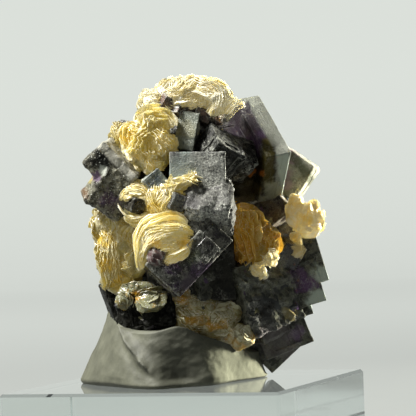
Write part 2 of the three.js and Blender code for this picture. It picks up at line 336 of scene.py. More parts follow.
def backdrop():
    front, back, radius, top, half_width = -130, 900, 700, 1600, 380
    curve_steps = 12
    section = [(front, 0)]
    for step in range(curve_steps + 1):
        angle = radians(90) * step / curve_steps
        section.append((back + radius * sin(angle), radius * (1 - cos(angle))))
    section.append((back + radius, top))
    verts = [(side * half_width, y, z) for y, z in section for side in (-1, 1)]
    faces = [(2 * i, 2 * i + 1, 2 * i + 3, 2 * i + 2) for i in range(len(section) - 1)]
    mesh = bpy.data.meshes.new("studio_sweep")
    turn = Matrix.Rotation(radians(SPECIMEN_TURN), 4, "Z") @ Matrix.Scale(MM, 4)
    mesh.from_pydata([turn @ Vector(v) for v in verts], [], faces)
    mesh.shade_smooth()
    sheet = bpy.data.objects.new("studio_sweep", mesh)
    bpy.context.scene.collection.objects.link(sheet)
    finish = Finish("pale_paper")
    tone = finish.noise(0.02, 2)
    colour = finish.mix(tone, (0.03, 0.032, 0.03, 1), (0.036, 0.038, 0.036, 1))
    away = spot_away(finish)
    level = away.smooth(20, 560) * 0.17 + away.smooth(700, 1350) * 0.15 + 0.4
    glow = finish.mix(level, grey(0.0), (0.95, 1.0, 0.94, 1))
    behind = away.smooth(-75, -32)
    paper = finish.principled(
        Base_Color=colour,
        Roughness=0.9,
        Emission_Color=finish.mix(behind, grey(0.0), glow),
        Emission_Strength=1.0,
    )
    mesh.materials.append(finish.close(paper))
    print("backdrop:", len(mesh.polygons), "faces")


backdrop()

# %% [markdown]
# ## The fluorite crystals
#
# Fluorite grows as cubes. Each one here is a box with its own place, size and turn, the same as in
# the CAD model. A real face isn't flat: it has growth steps with crisp borders, rounded edges where
# it was etched, and a fine grain. Displacing a plain grid would blur the steps, so each box gets a
# grid of its own, with two lines close together wherever a step runs.

# %% What each crystal is
# A crystal: middle, size, turn as pitch, roll and yaw, edge rounding, step height and grain, in mm.
SHARP = (0.25, 0.16, 0.03)
WORN = (0.5, 0.18, 0.07)

CRYSTALS = {
    "front_upper_crystal": [
        ((3.1, -9.2, 34.6), (9.8, 8.8, 10.8), (0, 2, 0), (0.3, 0.1, 0.07)),
        ((4.8, -11.2, 30.2), (8.8, 8, 9.2), (50, 2, 2), (1.7, 0.12, 0.3)),
        ((-0.6, -14.2, 31.6), (3, 3, 3.2), (10, 24, 20), WORN),
    ],
    "front_lower_crystal": [
        ((0.7, -10.8, 22.7), (13.4, 9.4, 8.2), (3, -44, 7), (0.35, 0.16, 0.07)),
        ((3.5, -15.6, 23.7), (3.6, 2, 4.8), (3, -44, 7), (0.15, 0.12, 0.08)),
    ],
    "upper_right_crystal": [
        ((13.9, 1.5, 40.4), (4.8, 11.6, 15), (-38, -26, 26), SHARP),
        ((9.6, 3.5, 38.2), (7, 9, 12), (-38, -26, 26), SHARP),
    ],
    "black_crystals": [
        ((6.9, -7.8, 39.8), (6.2, 6, 7), (-54.7, -17.6, 53.5), (0.25, 0.24, 0.12)),
        ((10, -4, 38.6), (5, 6, 6), (-40, -10, 40), (0.8, 0.2, 0.2)),
    ],
    "brown_crystal": [
        ((-1.9, -6.6, 48.9), (2.8, 3.4, 2.6), (10, 34, 30), SHARP),
        ((-0.2, -6.8, 47.6), (2.6, 3.4, 2.8), (-20, 20, 50), SHARP),
        ((1.2, -6.2, 46.8), (2.8, 3.8, 2.4), (14, -24, 20), SHARP),
        ((4.2, -5.8, 46.8), (3.2, 3.8, 2.2), (10, 30, 14), SHARP),
        ((5.8, -5.2, 45.9), (2.8, 3.8, 2.6), (-30, 14, 34), SHARP),
        ((1.8, -3.4, 47.2), (8, 4.6, 2.4), (0, 12, 6), WORN),
    ],
    "window_crystals": [
        ((1.6, -6.4, 43.4), (3.7, 5, 6.8), (-8, 13, -6), SHARP),
    ],
    "pale_chip_crystal": [
        ((-4.3, -11.4, 35.1), (3.6, 3, 3.2), (6, -38, 12), (0.15, 0.1, 0.05)),
    ],
    "right_pale_crystal": [
        ((19.7, 7.2, 35.9), (7.5, 6.4, 7.5), (6, 36, -12), (0.8, 0.1, 0.06)),
    ],
    "right_dark_crystals": [
        ((16.6, 3.4, 29.8), (5.2, 5, 5.2), (10, 50, -14), (0.5, 0.16, 0.12)),
        ((16.4, 8.6, 25), (8, 8, 9), (-6, -18, 24), SHARP),
    ],
    "left_crystals": [
        ((-11.4, -7.6, 37.8), (8.8, 8.4, 5.9), (10, 50, 0), (0.7, 0.16, 0.14)),
        ((-12, -7.2, 33.8), (7.6, 8.4, 7.6), (4, 36, 10), (1.1, 0.14, 0.2)),
        ((-7.6, -11.6, 31.3), (2.9, 3, 2.9), (8, 20, 30), WORN),
    ],
    "glassy_black_crystal": [
        ((18.2, -0.6, 22.2), (4.6, 4.4, 4.8), (20, 30, 30), (0.3, 0.06, 0.03)),
    ],
    "lower_right_crystals": [
        ((18.7, 6, 19.6), (12, 11, 9), (0, -15, 0), SHARP),
        ((18.7, 5.6, 15.7), (11, 11, 8), (0, -15, 0), SHARP),
        ((19, 5, 13.1), (6, 8, 6), (0, -15, 0), SHARP),
        ((17, 7, 8.2), (9.2, 9, 8), (0, -20, 0), SHARP),
        ((15.2, 7.2, 5.5), (7, 6.6, 6.6), (8, -41, 0), SHARP),
        ((11.6, 0.4, 14.6), (12, 12, 13), (4, -15, 36), (0.5, 0.3, 0.3)),
        ((6, -1, 15.6), (11, 11, 10), (6, -12, 20), (0.5, 0.3, 0.3)),
        ((14, 2.6, 9.8), (6, 6, 6), (10, -20, 24), (0.5, 0.2, 0.2)),
    ],
    "lower_left_crystals": [
        ((-6.2, -3.6, 12.4), (10.4, 10, 6.4), (-4, -6, -6), (1.4, 0.2, 0.3)),
        ((-12.2, 0.4, 14.8), (3.4, 8, 7), (0, -18, 8), (0.5, 0.1, 0.1)),
    ],
    "rosette_crystal": [
        ((-4.3, -15.2, 22.4), (3.2, 5, 3.2), (0, 20, 0), (1.2, 0.1, 0.16)),
    ],
    "back_crystals": [
        ((-5, 5.4, 38), (12, 12, 12), (-14, 18, -22), SHARP),
        ((5.4, 9, 31), (13, 12, 12), (10, -12, 30), SHARP),
        ((-7.6, 7.6, 24.4), (11, 11, 11), (-10, 8, 36), WORN),
        ((3.6, 9.4, 19), (11, 10, 10), (6, 20, -14), SHARP),
        ((-4.4, 7.2, 14.6), (9, 9, 9), (14, -16, 24), WORN),
        ((3.6, 5.6, 44.4), (8, 8, 8), (-20, 10, 40), SHARP),
    ],
    "core_crystals": [
        ((2.4, 2, 37), (12.6, 9.6, 13.6), (0, 0, 0), WORN),
        ((1.4, 0, 24), (15.6, 14.6, 19.6), (0, 0, 0), WORN),
        ((-7, -3.4, 35), (8.6, 8.6, 11.6), (0, 0, 0), WORN),
    ],
}
print("crystals:", sum(len(group) for group in CRYSTALS.values()))

# %% [markdown]
# A grid is worked out along each side first. Two lines 0.07 mm apart stand at each step, and two
# more near each end take up the rounding. Points of the grid that lie on the box's surface are kept
# and numbered, so that neighbouring faces share them and the box is closed.

# %% One crystal
# The grid's spacing, a wider one for crystals behind others, and the run of a step, in mm.
CELL = 0.42
HIDDEN_CELL = 1.0
STEP_RUN = 0.07
STEP_LINES = 5
BEYOND = 99


def grid_lines(length, steps, rounding, cell):
    """Where the grid's lines cross one side of a crystal."""
    half = length / 2
    even = np.linspace(-half, half, max(6, round(length / cell)) + 1)
    pairs = [step + side * STEP_RUN / 2 for step in steps for side in (-1, 1)]
    ends = [side * (half - rounding * part) for side in (-1, 1) for part in (0.3, 0.65, 1)]
    kept = []
    for line in sorted([*pairs, *ends, -half, half], key=abs):
        if all(abs(line - other) > STEP_RUN * 0.9 for other in kept):
            kept.append(line)
    kept += [line for line in even if all(abs(line - other) > cell * 0.4 for other in kept)]
    return np.array(sorted(kept))


def surface_grid(lines):
    """The points of a box's surface, and the four-cornered faces between them."""
    counts = [len(axis) for axis in lines]
    numbers = {}
    faces = []

    def number(index):
        return numbers.setdefault(index, len(numbers))

    for axis in range(3):
        u, v = (axis + 1) % 3, (axis + 2) % 3
        for side in (0, counts[axis] - 1):
            for i in range(counts[u] - 1):
                for j in range(counts[v] - 1):
                    ring = [(i, j), (i + 1, j), (i + 1, j + 1), (i, j + 1)]
                    face = []
                    for a, b in ring if side else reversed(ring):
                        index = [0, 0, 0]
                        index[axis], index[u], index[v] = side, a, b
                        face.append(number(tuple(index)))
                    faces.append(face)
    points = np.array([[lines[k][index[k]] for k in range(3)] for index in numbers])
    return points, faces


def face_ledges(axis, side, steps, step_height):
    """Growth steps of one face: oblong stages that reach the edge or stand inside the face."""
    u, v = (axis + 1) % 3, (axis + 2) % 3
    ledges = []
    for stage in range(3):
        low_u, high_u = sorted(DRAW.choice(steps[u], 2, replace=False))
        low_v, high_v = sorted(DRAW.choice(steps[v], 2, replace=False))
        if stage == 0:
            low_u, high_v = -BEYOND, BEYOND
        if stage == 1:
            high_u = BEYOND
        height = step_height * DRAW.uniform(-1, 0.4)
        ledges.append((u, v, low_u, high_u, low_v, high_v, height))
    return ledges


def crystal_shell(size, rounding, step_height, grain, cell=CELL):
    """A closed box with rounded edges, growth steps and a grain, round its own middle."""
    half = np.array(size) / 2
    steps = [half[k] * DRAW.uniform(-0.86, 0.86, STEP_LINES) for k in range(3)]
    lines = [grid_lines(size[k], steps[k], rounding, cell) for k in range(3)]
    points, faces = surface_grid(lines)
    inner = np.clip(points, -(half - rounding), half - rounding)
    outward = points - inner
    outward /= np.linalg.norm(outward, axis=1)[:, None]
    rise = np.zeros(len(points))
    for axis in range(3):
        for side in (-1, 1):
            facing = np.clip(outward[:, axis] * side, 0, 1) ** 2
            for u, v, lu, hu, lv, hv, height in face_ledges(axis, side, steps, step_height):
                inside = (points[:, u] > lu) & (points[:, u] < hu)
                inside &= (points[:, v] > lv) & (points[:, v] < hv)
                rise += facing * inside * height
    seed = int(DRAW.integers(1000))
    rise += grain * (0.8 * wander(points, 0.3, seed) + 0.5 * wander(points, 0.9, seed + 1))
    return inner + outward * (rounding + rise[:, None] - max(step_height, grain) * 0.4), faces


print("lines along a 10 mm side:", len(grid_lines(10, [-2, 1.5, 3], 0.3, CELL)))

# %% [markdown]
# Crystals that grew through each other are one body. A boolean union takes the hidden walls out,
# which matters in clear crystal, where every inner wall would show. The Manifold solver does it in
# a moment for closed meshes like these.

# %% Grow the crystals together


def new_object(name, points, faces):
    mesh = bpy.data.meshes.new(name)
    mesh.from_pydata(moved(np.asarray(points), TO_FRAME).tolist(), [], faces)
    thing = bpy.data.objects.new(name, mesh)
    bpy.context.scene.collection.objects.link(thing)
    return thing


CREASE_ANGLE = 34


def grown_together(name, shells):
    """One object from several closed shells."""
    parts = [new_object(f"{name}_{i}", *shell) for i, shell in enumerate(shells)]
    whole = parts[0]
    for part in parts[1:]:
        join = whole.modifiers.new(part.name, "BOOLEAN")
        join.solver = "MANIFOLD"
        join.operation = "UNION"
        join.object = part
    solved = whole.evaluated_get(bpy.context.evaluated_depsgraph_get())
    mesh = bpy.data.meshes.new_from_object(solved)
    mesh.name = name
    for part in parts:
        bpy.data.objects.remove(part)
    thing = bpy.data.objects.new(name, mesh)
    bpy.context.scene.collection.objects.link(thing)
    mesh.shade_smooth()
    mesh.set_sharp_from_angle(angle=radians(CREASE_ANGLE))
    return thing


def settle(piece, material, slot, *nodes):
    """Gives a finished piece its material and its place in the frame."""
    piece.data.materials.clear()
    piece.data.materials.append(material)
    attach(piece, "root")
    if nodes:
        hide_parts(*nodes)
    triangles = sum(len(face.vertices) - 2 for face in piece.data.polygons)
    print(f"{piece.name}: {triangles} triangles")
    return piece


HIDDEN_GROUPS = ("back_crystals", "core_crystals")
crystal_pieces = {}
for group, members in CRYSTALS.items():
    shells = []
    cell = HIDDEN_CELL if group in HIDDEN_GROUPS else CELL
    for at, size, turn, (rounding, step_height, grain) in members:
        points, faces = crystal_shell(size, rounding, step_height, grain, cell)
        shells.append((moved(points, pose(at, turn)), faces))
    crystal_pieces[group] = grown_together(group, shells)
print("crystal bodies:", len(crystal_pieces))

# %% [markdown]
# ## What fluorite is made of
#
# Clear fluorite bends light little and lets it through, so it is a Principled shader with full
# transmission and a plain absorption. Etched faces are frosted: light scatters in a maze of tiny
# pits. A second, opaque shader stands for that frost, and a speckled mask mixes the two. Blotches
# in the frost give each crystal its own zones of colour, and a few of them are painted shade. The
# back and the far right side have one calm dark tone, a painted shade over faces that the lights
# strike hard.

# %% Masks for a crystal


def cells(finish, per_mm):
    """How far the spot is from the nearest of many scattered points."""
    sockets = {"Vector": finish.place, "Scale": per_mm}
    return finish.node("ShaderNodeTexVoronoi", None, sockets)


def veins(finish, per_mm, width):
    """Thin crooked lines: 1 on a line and 0 away from it."""
    gap = abs(finish.noise(per_mm, 3, 0.6) - 0.5)
    return 1 - gap.smooth(width * 0.3, width)


def geometry(finish, name):
    return finish.node("ShaderNodeNewGeometry", None, None, out=name)


def facing_up(finish):
    return finish.node("ShaderNodeSeparateXYZ", None, {0: geometry(finish, "Normal")}, out=2)


def facing_away(finish):
    """1 on the back and the far right side, and 0 on the specimen's best side."""
    return share_along(finish, geometry(finish, "Normal"), 0.35, 1).smooth(-0.05, 0.3)


# %% [markdown]
# Zones of colour have soft crooked borders. A patch is a round one, and a zone is an oblong one
# that follows a crystal's edges. Both are measured on the specimen's best side, so they run on from
# one face to the next.

# %% Patches and zones


def patch(finish, x, z, radius):
    """A soft round blotch: 1 inside and 0 outside."""
    sockets = {0: spot_right(finish) - x, 1: spot_height(finish) - z, 2: 0.0}
    offset = finish.node("ShaderNodeCombineXYZ", None, sockets)
    length = finish.vector("LENGTH", {0: offset}, out="Value")
    wobble = (finish.noise(0.9 / radius, 3) - 0.5) * (2.4 * radius)
    return 1 - (length + wobble).smooth(radius * 0.6, radius * 1.3)


def zone(finish, x, z, half_x, half_z, angle):
    """An oblong with soft edges, turned by an angle: 1 inside and 0 outside."""
    right, up = spot_right(finish) - x, spot_height(finish) - z
    c, s = cos(radians(angle)), sin(radians(angle))
    wobble = (finish.noise(0.8) - 0.5) * 0.9
    sides = ((right * c + up * s, half_x), (up * c - right * s, half_z))
    across, along = (
        1 - (abs(offset) + wobble).smooth(half - 0.2, half + 0.4) for offset, half in sides
    )
    return across * along


def blotch(finish, place):
    """A patch or a zone: three numbers say where a patch is, and five where a zone is."""
    return (patch if len(place) == 3 else zone)(finish, *place)


# %% A crystal's finish


def fluorite(name, tint, density, frost, dark, light, crumbs, edge, blotches=(), gloss=0.5):
    """Clear fluorite under a frost.

    frost is how much is frosted, from 0 to 1. dark and light are the frost's tones. crumbs is a
    rule that takes the finish and says where white etching lies, from 0 to 1; that white is partly
    frost and partly painted sparkle where etch pits catch the light. Most blotches are a colour
    that shows through from within, and a few are painted shade. A blotch is a patch as x, z and
    radius, or a zone as x, z, two half sizes and an angle, then its colour and strength. The back
    and the far right side are darkened as painted shade.
    """
    finish = Finish(name)
    patches = finish.noise(0.3, 3)
    maze = finish.noise(3.4, 4, 0.66)
    cover = (patches * 0.6 + maze * 0.4 + (frost - 0.5)).smooth(0.4, 0.6)
    grit = cells(finish, 4.6)
    normal = finish.bump(maze + grit * 0.4, 0.16, 0.8)
    clear = finish.principled(
        Base_Color=(0.93, 0.95, 0.94, 1),
        Roughness=finish.noise(1.2) * 0.2 + 0.03,
        IOR=1.434,
        Transmission_Weight=1.0,
        Normal=finish.bump(maze, 0.06, 0.5),
    )
    tone = finish.mix(finish.noise(0.9, 6, 0.78).smooth(0.42, 0.58), dark, light)
    for *place, colour, strength in blotches:
        tone = finish.mix(blotch(finish, place) * strength, tone, colour)
    # Painted shade: the back and the far right side get one dark tone and fewer white specks, which
    # holds down the light that falls hard there.
    back_shade = facing_away(finish)
    tone = finish.mix(back_shade * 0.75, tone, (0.04, 0.04, 0.034, 1))
    ridge = geometry(finish, "Pointiness").smooth(0.51, 0.6) * edge
    white = (crumbs(finish) + ridge) * (1 - back_shade * 0.8)
    frosted = finish.principled(
        Base_Color=finish.mix(white, tone, (0.52, 0.53, 0.46, 1)),
        Roughness=finish.noise(2.6) * 0.5 + 0.12,
        Specular_IOR_Level=gloss,
        Normal=normal,
    )
    both = finish.node("ShaderNodeMixShader", None, {0: cover + white, 1: clear, 2: frosted})
    return finish.close(both, finish.absorption(tint, density))


# %% [markdown]
# White etching differs from crystal to crystal; its white is partly frost and partly painted
# sparkle where etch pits catch the light. On the front one it fades to the left, the left ones look
# sprinkled with sugar, and the others are dusty.

# %% White etching


def front_crumbs(finish):
    """Fading to the left, and thinned as painted shade where faces turn up and at the far right
    edge.
    """
    flecks = finish.noise(2.7, 4, 0.72).smooth(0.53, 0.58)
    lines = veins(finish, 1.1, 0.1) * 0.5 + veins(finish, 2.2, 0.14) * 0.5
    rightwards = (spot_right(finish) + finish.noise(0.4) * 4).smooth(2, 6)
    # Painted shade: fewer white specks where the face turns up to the key light, and on the far
    # right edge that the side light reaches.
    step = facing_up(finish).smooth(-0.1, 0.5)
    where = rightwards * 0.5 - step * 0.5 + 0.24
    rim = spot_right(finish).smooth(7.4, 8.6) * 0.8
    return where * (flecks * 0.95 + lines * 0.7) * (1 - rim)


def sparkling(finish):
    """Separate white dots on dark stone, like sugar, with fine specks between them."""
    dots = 1 - cells(finish, 1.5).smooth(0.1, 0.2)
    gaps = finish.noise(0.5, 2).smooth(0.36, 0.5)
    return dots * gaps + finish.noise(3.6, 3, 0.7).smooth(0.6, 0.68) * 0.6


def dusty(amount):
    """Specks in drifts, with a few crooked lines."""

    def crumbs(finish):
        specks = finish.noise(3.4, 3, 0.72).smooth(0.57, 0.66)
        drift = finish.noise(0.4, 3).smooth(0.42, 0.66)
        return (specks * (drift + 0.1) + veins(finish, 0.9, 0.06) * drift * 0.5) * amount

    return crumbs


# %% What each crystal's finish is
GREEN_GREY = (0.5, 0.6, 0.5, 1)
SMOKE = (0.5, 0.48, 0.44, 1)
BLACK = (0.01, 0.01, 0.008, 1)
CHARCOAL = (0.028, 0.027, 0.02, 1)
ASH = (0.15, 0.148, 0.12, 1)
PURPLE = (0.085, 0.035, 0.11, 1)
RUST = (0.4, 0.13, 0.015, 1)
MIST = (0.4, 0.46, 0.38, 1)
PINK = (0.26, 0.16, 0.2, 1)

# A finish: the tint and density of the clear stone, the share of frost, the frost's two tones, its
# white etching, how bright its edges are, the blotches, a few of them painted shade and one partly
# a painted highlight, and the frost's gloss.
CRYSTAL_FACTS = {
    "front_upper_crystal": (
        SMOKE, 260, 0.9, (0.022, 0.02, 0.022, 1), (0.13, 0.135, 0.125, 1), front_crumbs, 0.3,
        [(6, 27.5, 3.6, (0.03, 0.022, 0.034, 1), 0.9), (0, 36.4, 3.4, (0.22, 0.26, 0.235, 1), 0.8),
         # These two zones are painted shade: they darken the step that faces up to the key light
         # and the right edge that the side light reaches.
         (5, 32.4, 4.6, 2.4, 0, (0.05, 0.047, 0.044, 1), 0.85),
         (8.8, 30.5, 1.0, 5.4, 4, (0.03, 0.03, 0.028, 1), 0.9)],
        0.12,
    ),
    "front_lower_crystal": (
        SMOKE, 60, 0.5, CHARCOAL, ASH, dusty(0.6), 0.7,
        [(1.9, 21.8, 1.3, (0.2, 0.24, 0.13, 1), 0.8), (3.2, 20, 1.7, (0.09, 0.045, 0.11, 1), 0.8),
         (-1.6, 20.6, 1.6, PURPLE, 0.8), (0.6, 17.6, 2.0, (0.05, 0.035, 0.05, 1), 0.8)],
    ),
    "upper_right_crystal": (
        GREEN_GREY, 80, 0.8, (0.15, 0.155, 0.13, 1), (0.22, 0.23, 0.19, 1), dusty(0.25), 0.05,
        [(10.8, 43.4, 3.6, 4.2, 24, (0.02, 0.015, 0.02, 1), 0.98),
         (12.6, 37.4, 4.0, 5.2, 0, (0.014, 0.011, 0.003, 1), 1.0),
         (12.8, 41.4, 2.4, (0.03, 0.016, 0.036, 1), 0.9),
         (10.4, 43.4, 2.2, (0.02, 0.013, 0.02, 1), 0.95),
         (15.4, 38, 0.8, 3.9, 0, (0.045, 0.036, 0.003, 1), 0.9),
         (12.4, 36.4, 0.8, RUST, 0.9), (14.3, 36, 0.5, RUST, 0.8),
         (12, 33, 2.2, (0.12, 0.1, 0.05, 1), 0.6),
         (15.8, 44.6, 1.3, 3.8, 26, (0.11, 0.115, 0.095, 1), 0.8),
         (18.4, 35.4, 0.9, 3.6, 8, (0.42, 0.48, 0.4, 1), 0.85),
         (16.2, 33, 1.6, (0.35, 0.36, 0.26, 1), 0.7)],
        0.12,
    ),
    "black_crystals": (
        SMOKE, 300, 0.75, (0.003, 0.003, 0.002, 1), (0.02, 0.02, 0.018, 1), dusty(0.75), 0.45,
        (), 0.2,
    ),
    "brown_crystal": (
        SMOKE, 200, 0.7, (0.02, 0.013, 0.012, 1), (0.12, 0.075, 0.06, 1), dusty(1.0), 0.8,
    ),
    "window_crystals": (
        GREEN_GREY, 60, 0.9, (0.17, 0.19, 0.155, 1), (0.26, 0.28, 0.23, 1), dusty(0.4), 0.6,
        [(1.4, 44, 1.5, (0.24, 0.23, 0.14, 1), 0.7)],
    ),
    "pale_chip_crystal": (
        GREEN_GREY, 60, 0.6, (0.1, 0.12, 0.12, 1), (0.3, 0.33, 0.28, 1), dusty(0.5), 0.3,
        [(-4.2, 34.8, 1.2, (0.06, 0.08, 0.09, 1), 0.8)],
    ),
    "right_pale_crystal": (
        GREEN_GREY, 160, 0.85, (0.17, 0.165, 0.12, 1), (0.28, 0.28, 0.21, 1), dusty(0.3), 0.0,
        [(19.6, 38.6, 1.5, PINK, 0.9), (18.4, 35, 1.8, PINK, 0.6),
         (22.6, 35.4, 0.7, 5, 36, (0.07, 0.075, 0.045, 1), 0.85)],
        0.12,
    ),
    "right_dark_crystals": (
        SMOKE, 240, 0.75, (0.024, 0.018, 0.014, 1), (0.12, 0.1, 0.07, 1), dusty(0.35), 0.3,
        [(15.4, 28.4, 1.2, (0.03, 0.018, 0.034, 1), 0.8)],
    ),
    "glassy_black_crystal": (SMOKE, 200, 0.2, BLACK, CHARCOAL, dusty(0.3), 0.6),
    "left_crystals": (
        SMOKE, 180, 0.7, (0.035, 0.032, 0.022, 1), (0.19, 0.185, 0.135, 1), sparkling, 0.2,
        [(-13.2, 39.4, 2.4, BLACK, 1.0), (-15.6, 36.4, 1.0, (0.3, 0.26, 0.1, 1), 0.8),
         (-14.2, 36.4, 0.9, (0.07, 0.04, 0.08, 1), 0.9),
         (-13, 37.4, 0.8, (0.4, 0.42, 0.36, 1), 0.8),
         (-16.6, 33.6, 1.1, (0.11, 0.06, 0.03, 1), 0.7), (-12.2, 32, 1.6, PURPLE, 0.4),
         (-7.6, 31.2, 2.2, (0.014, 0.012, 0.008, 1), 0.95),
         # This pale zone is partly the facet's striated frost and partly a painted highlight on the
         # face that turns up towards the light.
         (-10.6, 40, 1.3, 5.2, 44, (0.36, 0.35, 0.29, 1), 0.8)],
        0.2,
    ),
    "lower_right_crystals": (
        GREEN_GREY, 130, 0.72, (0.018, 0.019, 0.012, 1), (0.105, 0.108, 0.074, 1),
        dusty(0.35), 0.05,
        [(15.5, 8.9, 4.6, 1.4, 15, (0.02, 0.02, 0.014, 1), 0.95),
         (13.4, 12.4, 2.8, (0.005, 0.005, 0.004, 1), 0.95),
         (6.4, 17.6, 3, (0.034, 0.035, 0.018, 1), 0.9),
         (21.4, 16.6, 2.0, PURPLE, 0.9), (19.6, 18.6, 1.3, PURPLE, 0.7),
         (18.4, 11.4, 1.2, (0.24, 0.2, 0.08, 1), 0.8), (19.6, 7.4, 1.5, (0.2, 0.13, 0.23, 1), 0.7),
         (24, 18, 1.7, MIST, 0.9), (23.4, 13.6, 1.8, MIST, 0.9),
         (16, 6, 3.6, (0.16, 0.14, 0.14, 1), 0.6)],
    ),
    "lower_left_crystals": (
        SMOKE, 300, 1.0, (0.002, 0.002, 0.0015, 1), (0.008, 0.008, 0.006, 1), dusty(0.06), 0.1,
        (), 0.04,
    ),
    "rosette_crystal": (
        SMOKE, 200, 0.8, (0.035, 0.014, 0.014, 1), (0.09, 0.04, 0.035, 1), dusty(0.5), 1.0
    ),
    "back_crystals": (GREEN_GREY, 160, 0.5, CHARCOAL, ASH, dusty(0.5), 0.4),
    "core_crystals": (SMOKE, 400, 0.9, BLACK, CHARCOAL, dusty(0.3), 0.2, (), 0.2),
}
print("finishes:", len(CRYSTAL_FACTS), "for", len(crystal_pieces), "crystal bodies")

# %% Give the crystals their finishes
for group, piece in crystal_pieces.items():
    material = fluorite(group.replace("_crystal", "_fluorite"), *CRYSTAL_FACTS[group])
    settle(piece, material, "fluorite", "fluorite_cluster")

# %% [markdown]
# ## The phantoms inside
#
# The crystals are dark because an earlier, violet-black stage lies inside the clear outer zone. It
# is modelled as what it is: a smaller box inside each crystal, opaque, with violet, olive and amber
# zones. Where the outer zone is thick, as on the right, a pale rim is left around it.

# %% Where the phantoms are
# A phantom: the crystal it lies in, how much of the crystal's size it fills, and its shift.
PHANTOMS = {
    "front_lower_crystal": [(0, (0.93, 0.9, 0.88), (0.1, 0.1, 0.1))],
    "upper_right_crystal": [
        (0, (0.62, 0.84, 0.86), (-0.75, -0.3, 0.2)),
        (1, (0.9, 0.9, 0.9), (0, 0, 0)),
    ],
    "right_pale_crystal": [(0, (0.55, 0.6, 0.55), (-0.9, 0.3, -0.3))],
    "right_dark_crystals": [(0, (0.86, 0.86, 0.86), (0, 0, 0)), (1, (0.9, 0.9, 0.9), (0, 0, 0))],
    "window_crystals": [(0, (0.8, 0.8, 0.84), (0.3, 0.3, 0))],
    "left_crystals": [(0, (0.86, 0.86, 0.8), (0, 0, -0.1)), (1, (0.84, 0.84, 0.84), (0.1, 0, 0.1))],
    "lower_right_crystals": [
        (0, (0.82, 0.86, 0.84), (-0.9, 0.2, 0.4)),
        (1, (0.82, 0.86, 0.82), (-0.8, 0.2, 0.3)),
        (3, (0.82, 0.84, 0.82), (-0.6, 0.2, 0.2)),
        (4, (0.88, 0.86, 0.88), (0, 0, 0)),
        (5, (0.94, 0.94, 0.94), (0, 0, 0)),
        (6, (0.94, 0.94, 0.94), (0, 0, 0)),
    ],
    "lower_left_crystals": [(0, (0.93, 0.93, 0.9), (0, 0, 0)), (1, (0.8, 0.9, 0.9), (0, 0, 0))],
    "back_crystals": [(k, (0.86, 0.86, 0.86), (0, 0, 0)) for k in range(6)],
}
print("phantoms:", sum(len(inner) for inner in PHANTOMS.values()))


# %% A phantom's finish


def zoned(name, base, zones, per_mm):
    """Soft zones of colour, one over another.

    A zone is a colour and the two levels of noise between which its edge runs.
    """
    finish = Finish(name)
    colour = base
    for k, (tone, low, high) in enumerate(zones):
        sockets = {0: finish.place, 1: (17.0 * (k + 1), 5.0 * k, 0)}
        shifted = finish.vector("ADD", sockets)
        mask = finish.noise(per_mm, 2, 0.5, shifted).smooth(low, high)
        colour = finish.mix(mask, colour, tone)
    cloud = finish.noise(1.4, 3)
    body = finish.principled(
        Base_Color=finish.mix(cloud.smooth(0.35, 0.75) * 0.5, colour, grey(0.05)),
        Roughness=0.55,
        Normal=finish.bump(cloud, 0.12, 0.6),
    )
    return finish.close(body)


BLACK_VIOLET = (0.014, 0.011, 0.015, 1)
VIOLET = (0.1, 0.045, 0.13, 1)
OLIVE_DARK = (0.085, 0.08, 0.02, 1)
AMBER_DARK = (0.3, 0.11, 0.012, 1)
GREEN_MIST = (0.12, 0.14, 0.09, 1)

PHANTOM_FACTS = {
    "front_lower_crystal": (
        "violet_green", BLACK_VIOLET, [(VIOLET, 0.48, 0.64), (GREEN_MIST, 0.56, 0.72)], 0.2,
    ),
    "upper_right_crystal": (
        "violet_amber", BLACK_VIOLET,
        [((0.045, 0.024, 0.055, 1), 0.46, 0.6), (OLIVE_DARK, 0.5, 0.62), (AMBER_DARK, 0.6, 0.72)],
        0.22,
    ),
    "right_pale_crystal": (
        "rosy", (0.2, 0.12, 0.16, 1), [((0.28, 0.25, 0.22, 1), 0.45, 0.6)], 0.3,
    ),
    "window_crystals": (
        "misty", (0.3, 0.32, 0.27, 1), [((0.42, 0.4, 0.27, 1), 0.45, 0.6)], 0.4,
    ),
    "right_dark_crystals": ("deep_violet", BLACK_VIOLET, [(VIOLET, 0.42, 0.6)], 0.3),
    "left_crystals": (
        "olive_violet", BLACK_VIOLET, [(OLIVE_DARK, 0.5, 0.66), (VIOLET, 0.52, 0.68)], 0.3,
    ),
    "lower_right_crystals": (
        "green_violet", (0.014, 0.017, 0.016, 1),
        [(VIOLET, 0.54, 0.68), (OLIVE_DARK, 0.56, 0.7)], 0.2,
    ),
    "lower_left_crystals": ("black", BLACK_VIOLET, [(OLIVE_DARK, 0.5, 0.7)], 0.3),
    "back_crystals": ("back", BLACK_VIOLET, [(VIOLET, 0.48, 0.64)], 0.2),
}
print("phantom finishes:", ", ".join(facts[0] for facts in PHANTOM_FACTS.values()))

# %% Grow the phantoms
PHANTOM_ROUNDING, PHANTOM_STEP, PHANTOM_GRAIN = 0.5, 0.2, 0.4
for group, inner in PHANTOMS.items():
    shells = []
    for index, fill, shift in inner:
        at, size, turn, _ = CRYSTALS[group][index]
        small = [length * part for length, part in zip(size, fill)]
        points, faces = crystal_shell(
            small, PHANTOM_ROUNDING, PHANTOM_STEP, PHANTOM_GRAIN, HIDDEN_CELL
        )
        shells.append((moved(points + np.array(shift), pose(at, turn)), faces))
    name, *facts = PHANTOM_FACTS[group]
    phantom = grown_together(group + "_phantom", shells)
    settle(phantom, zoned(name + "_phantom", *facts), "fluorite")

# %% [markdown]
# ## The mica
#
# Muscovite splits into leaves thinner than paper. A tuft is many small books of leaves that open
# round a common line. A displaced lump would look like bread, so every leaf is real: a thin closed
# sheet with an uneven outline, bent and rippled, and its neighbours in a book share its bend. Each
# point keeps how near the rim it is and its leaf's own tone, and the finish reads both.

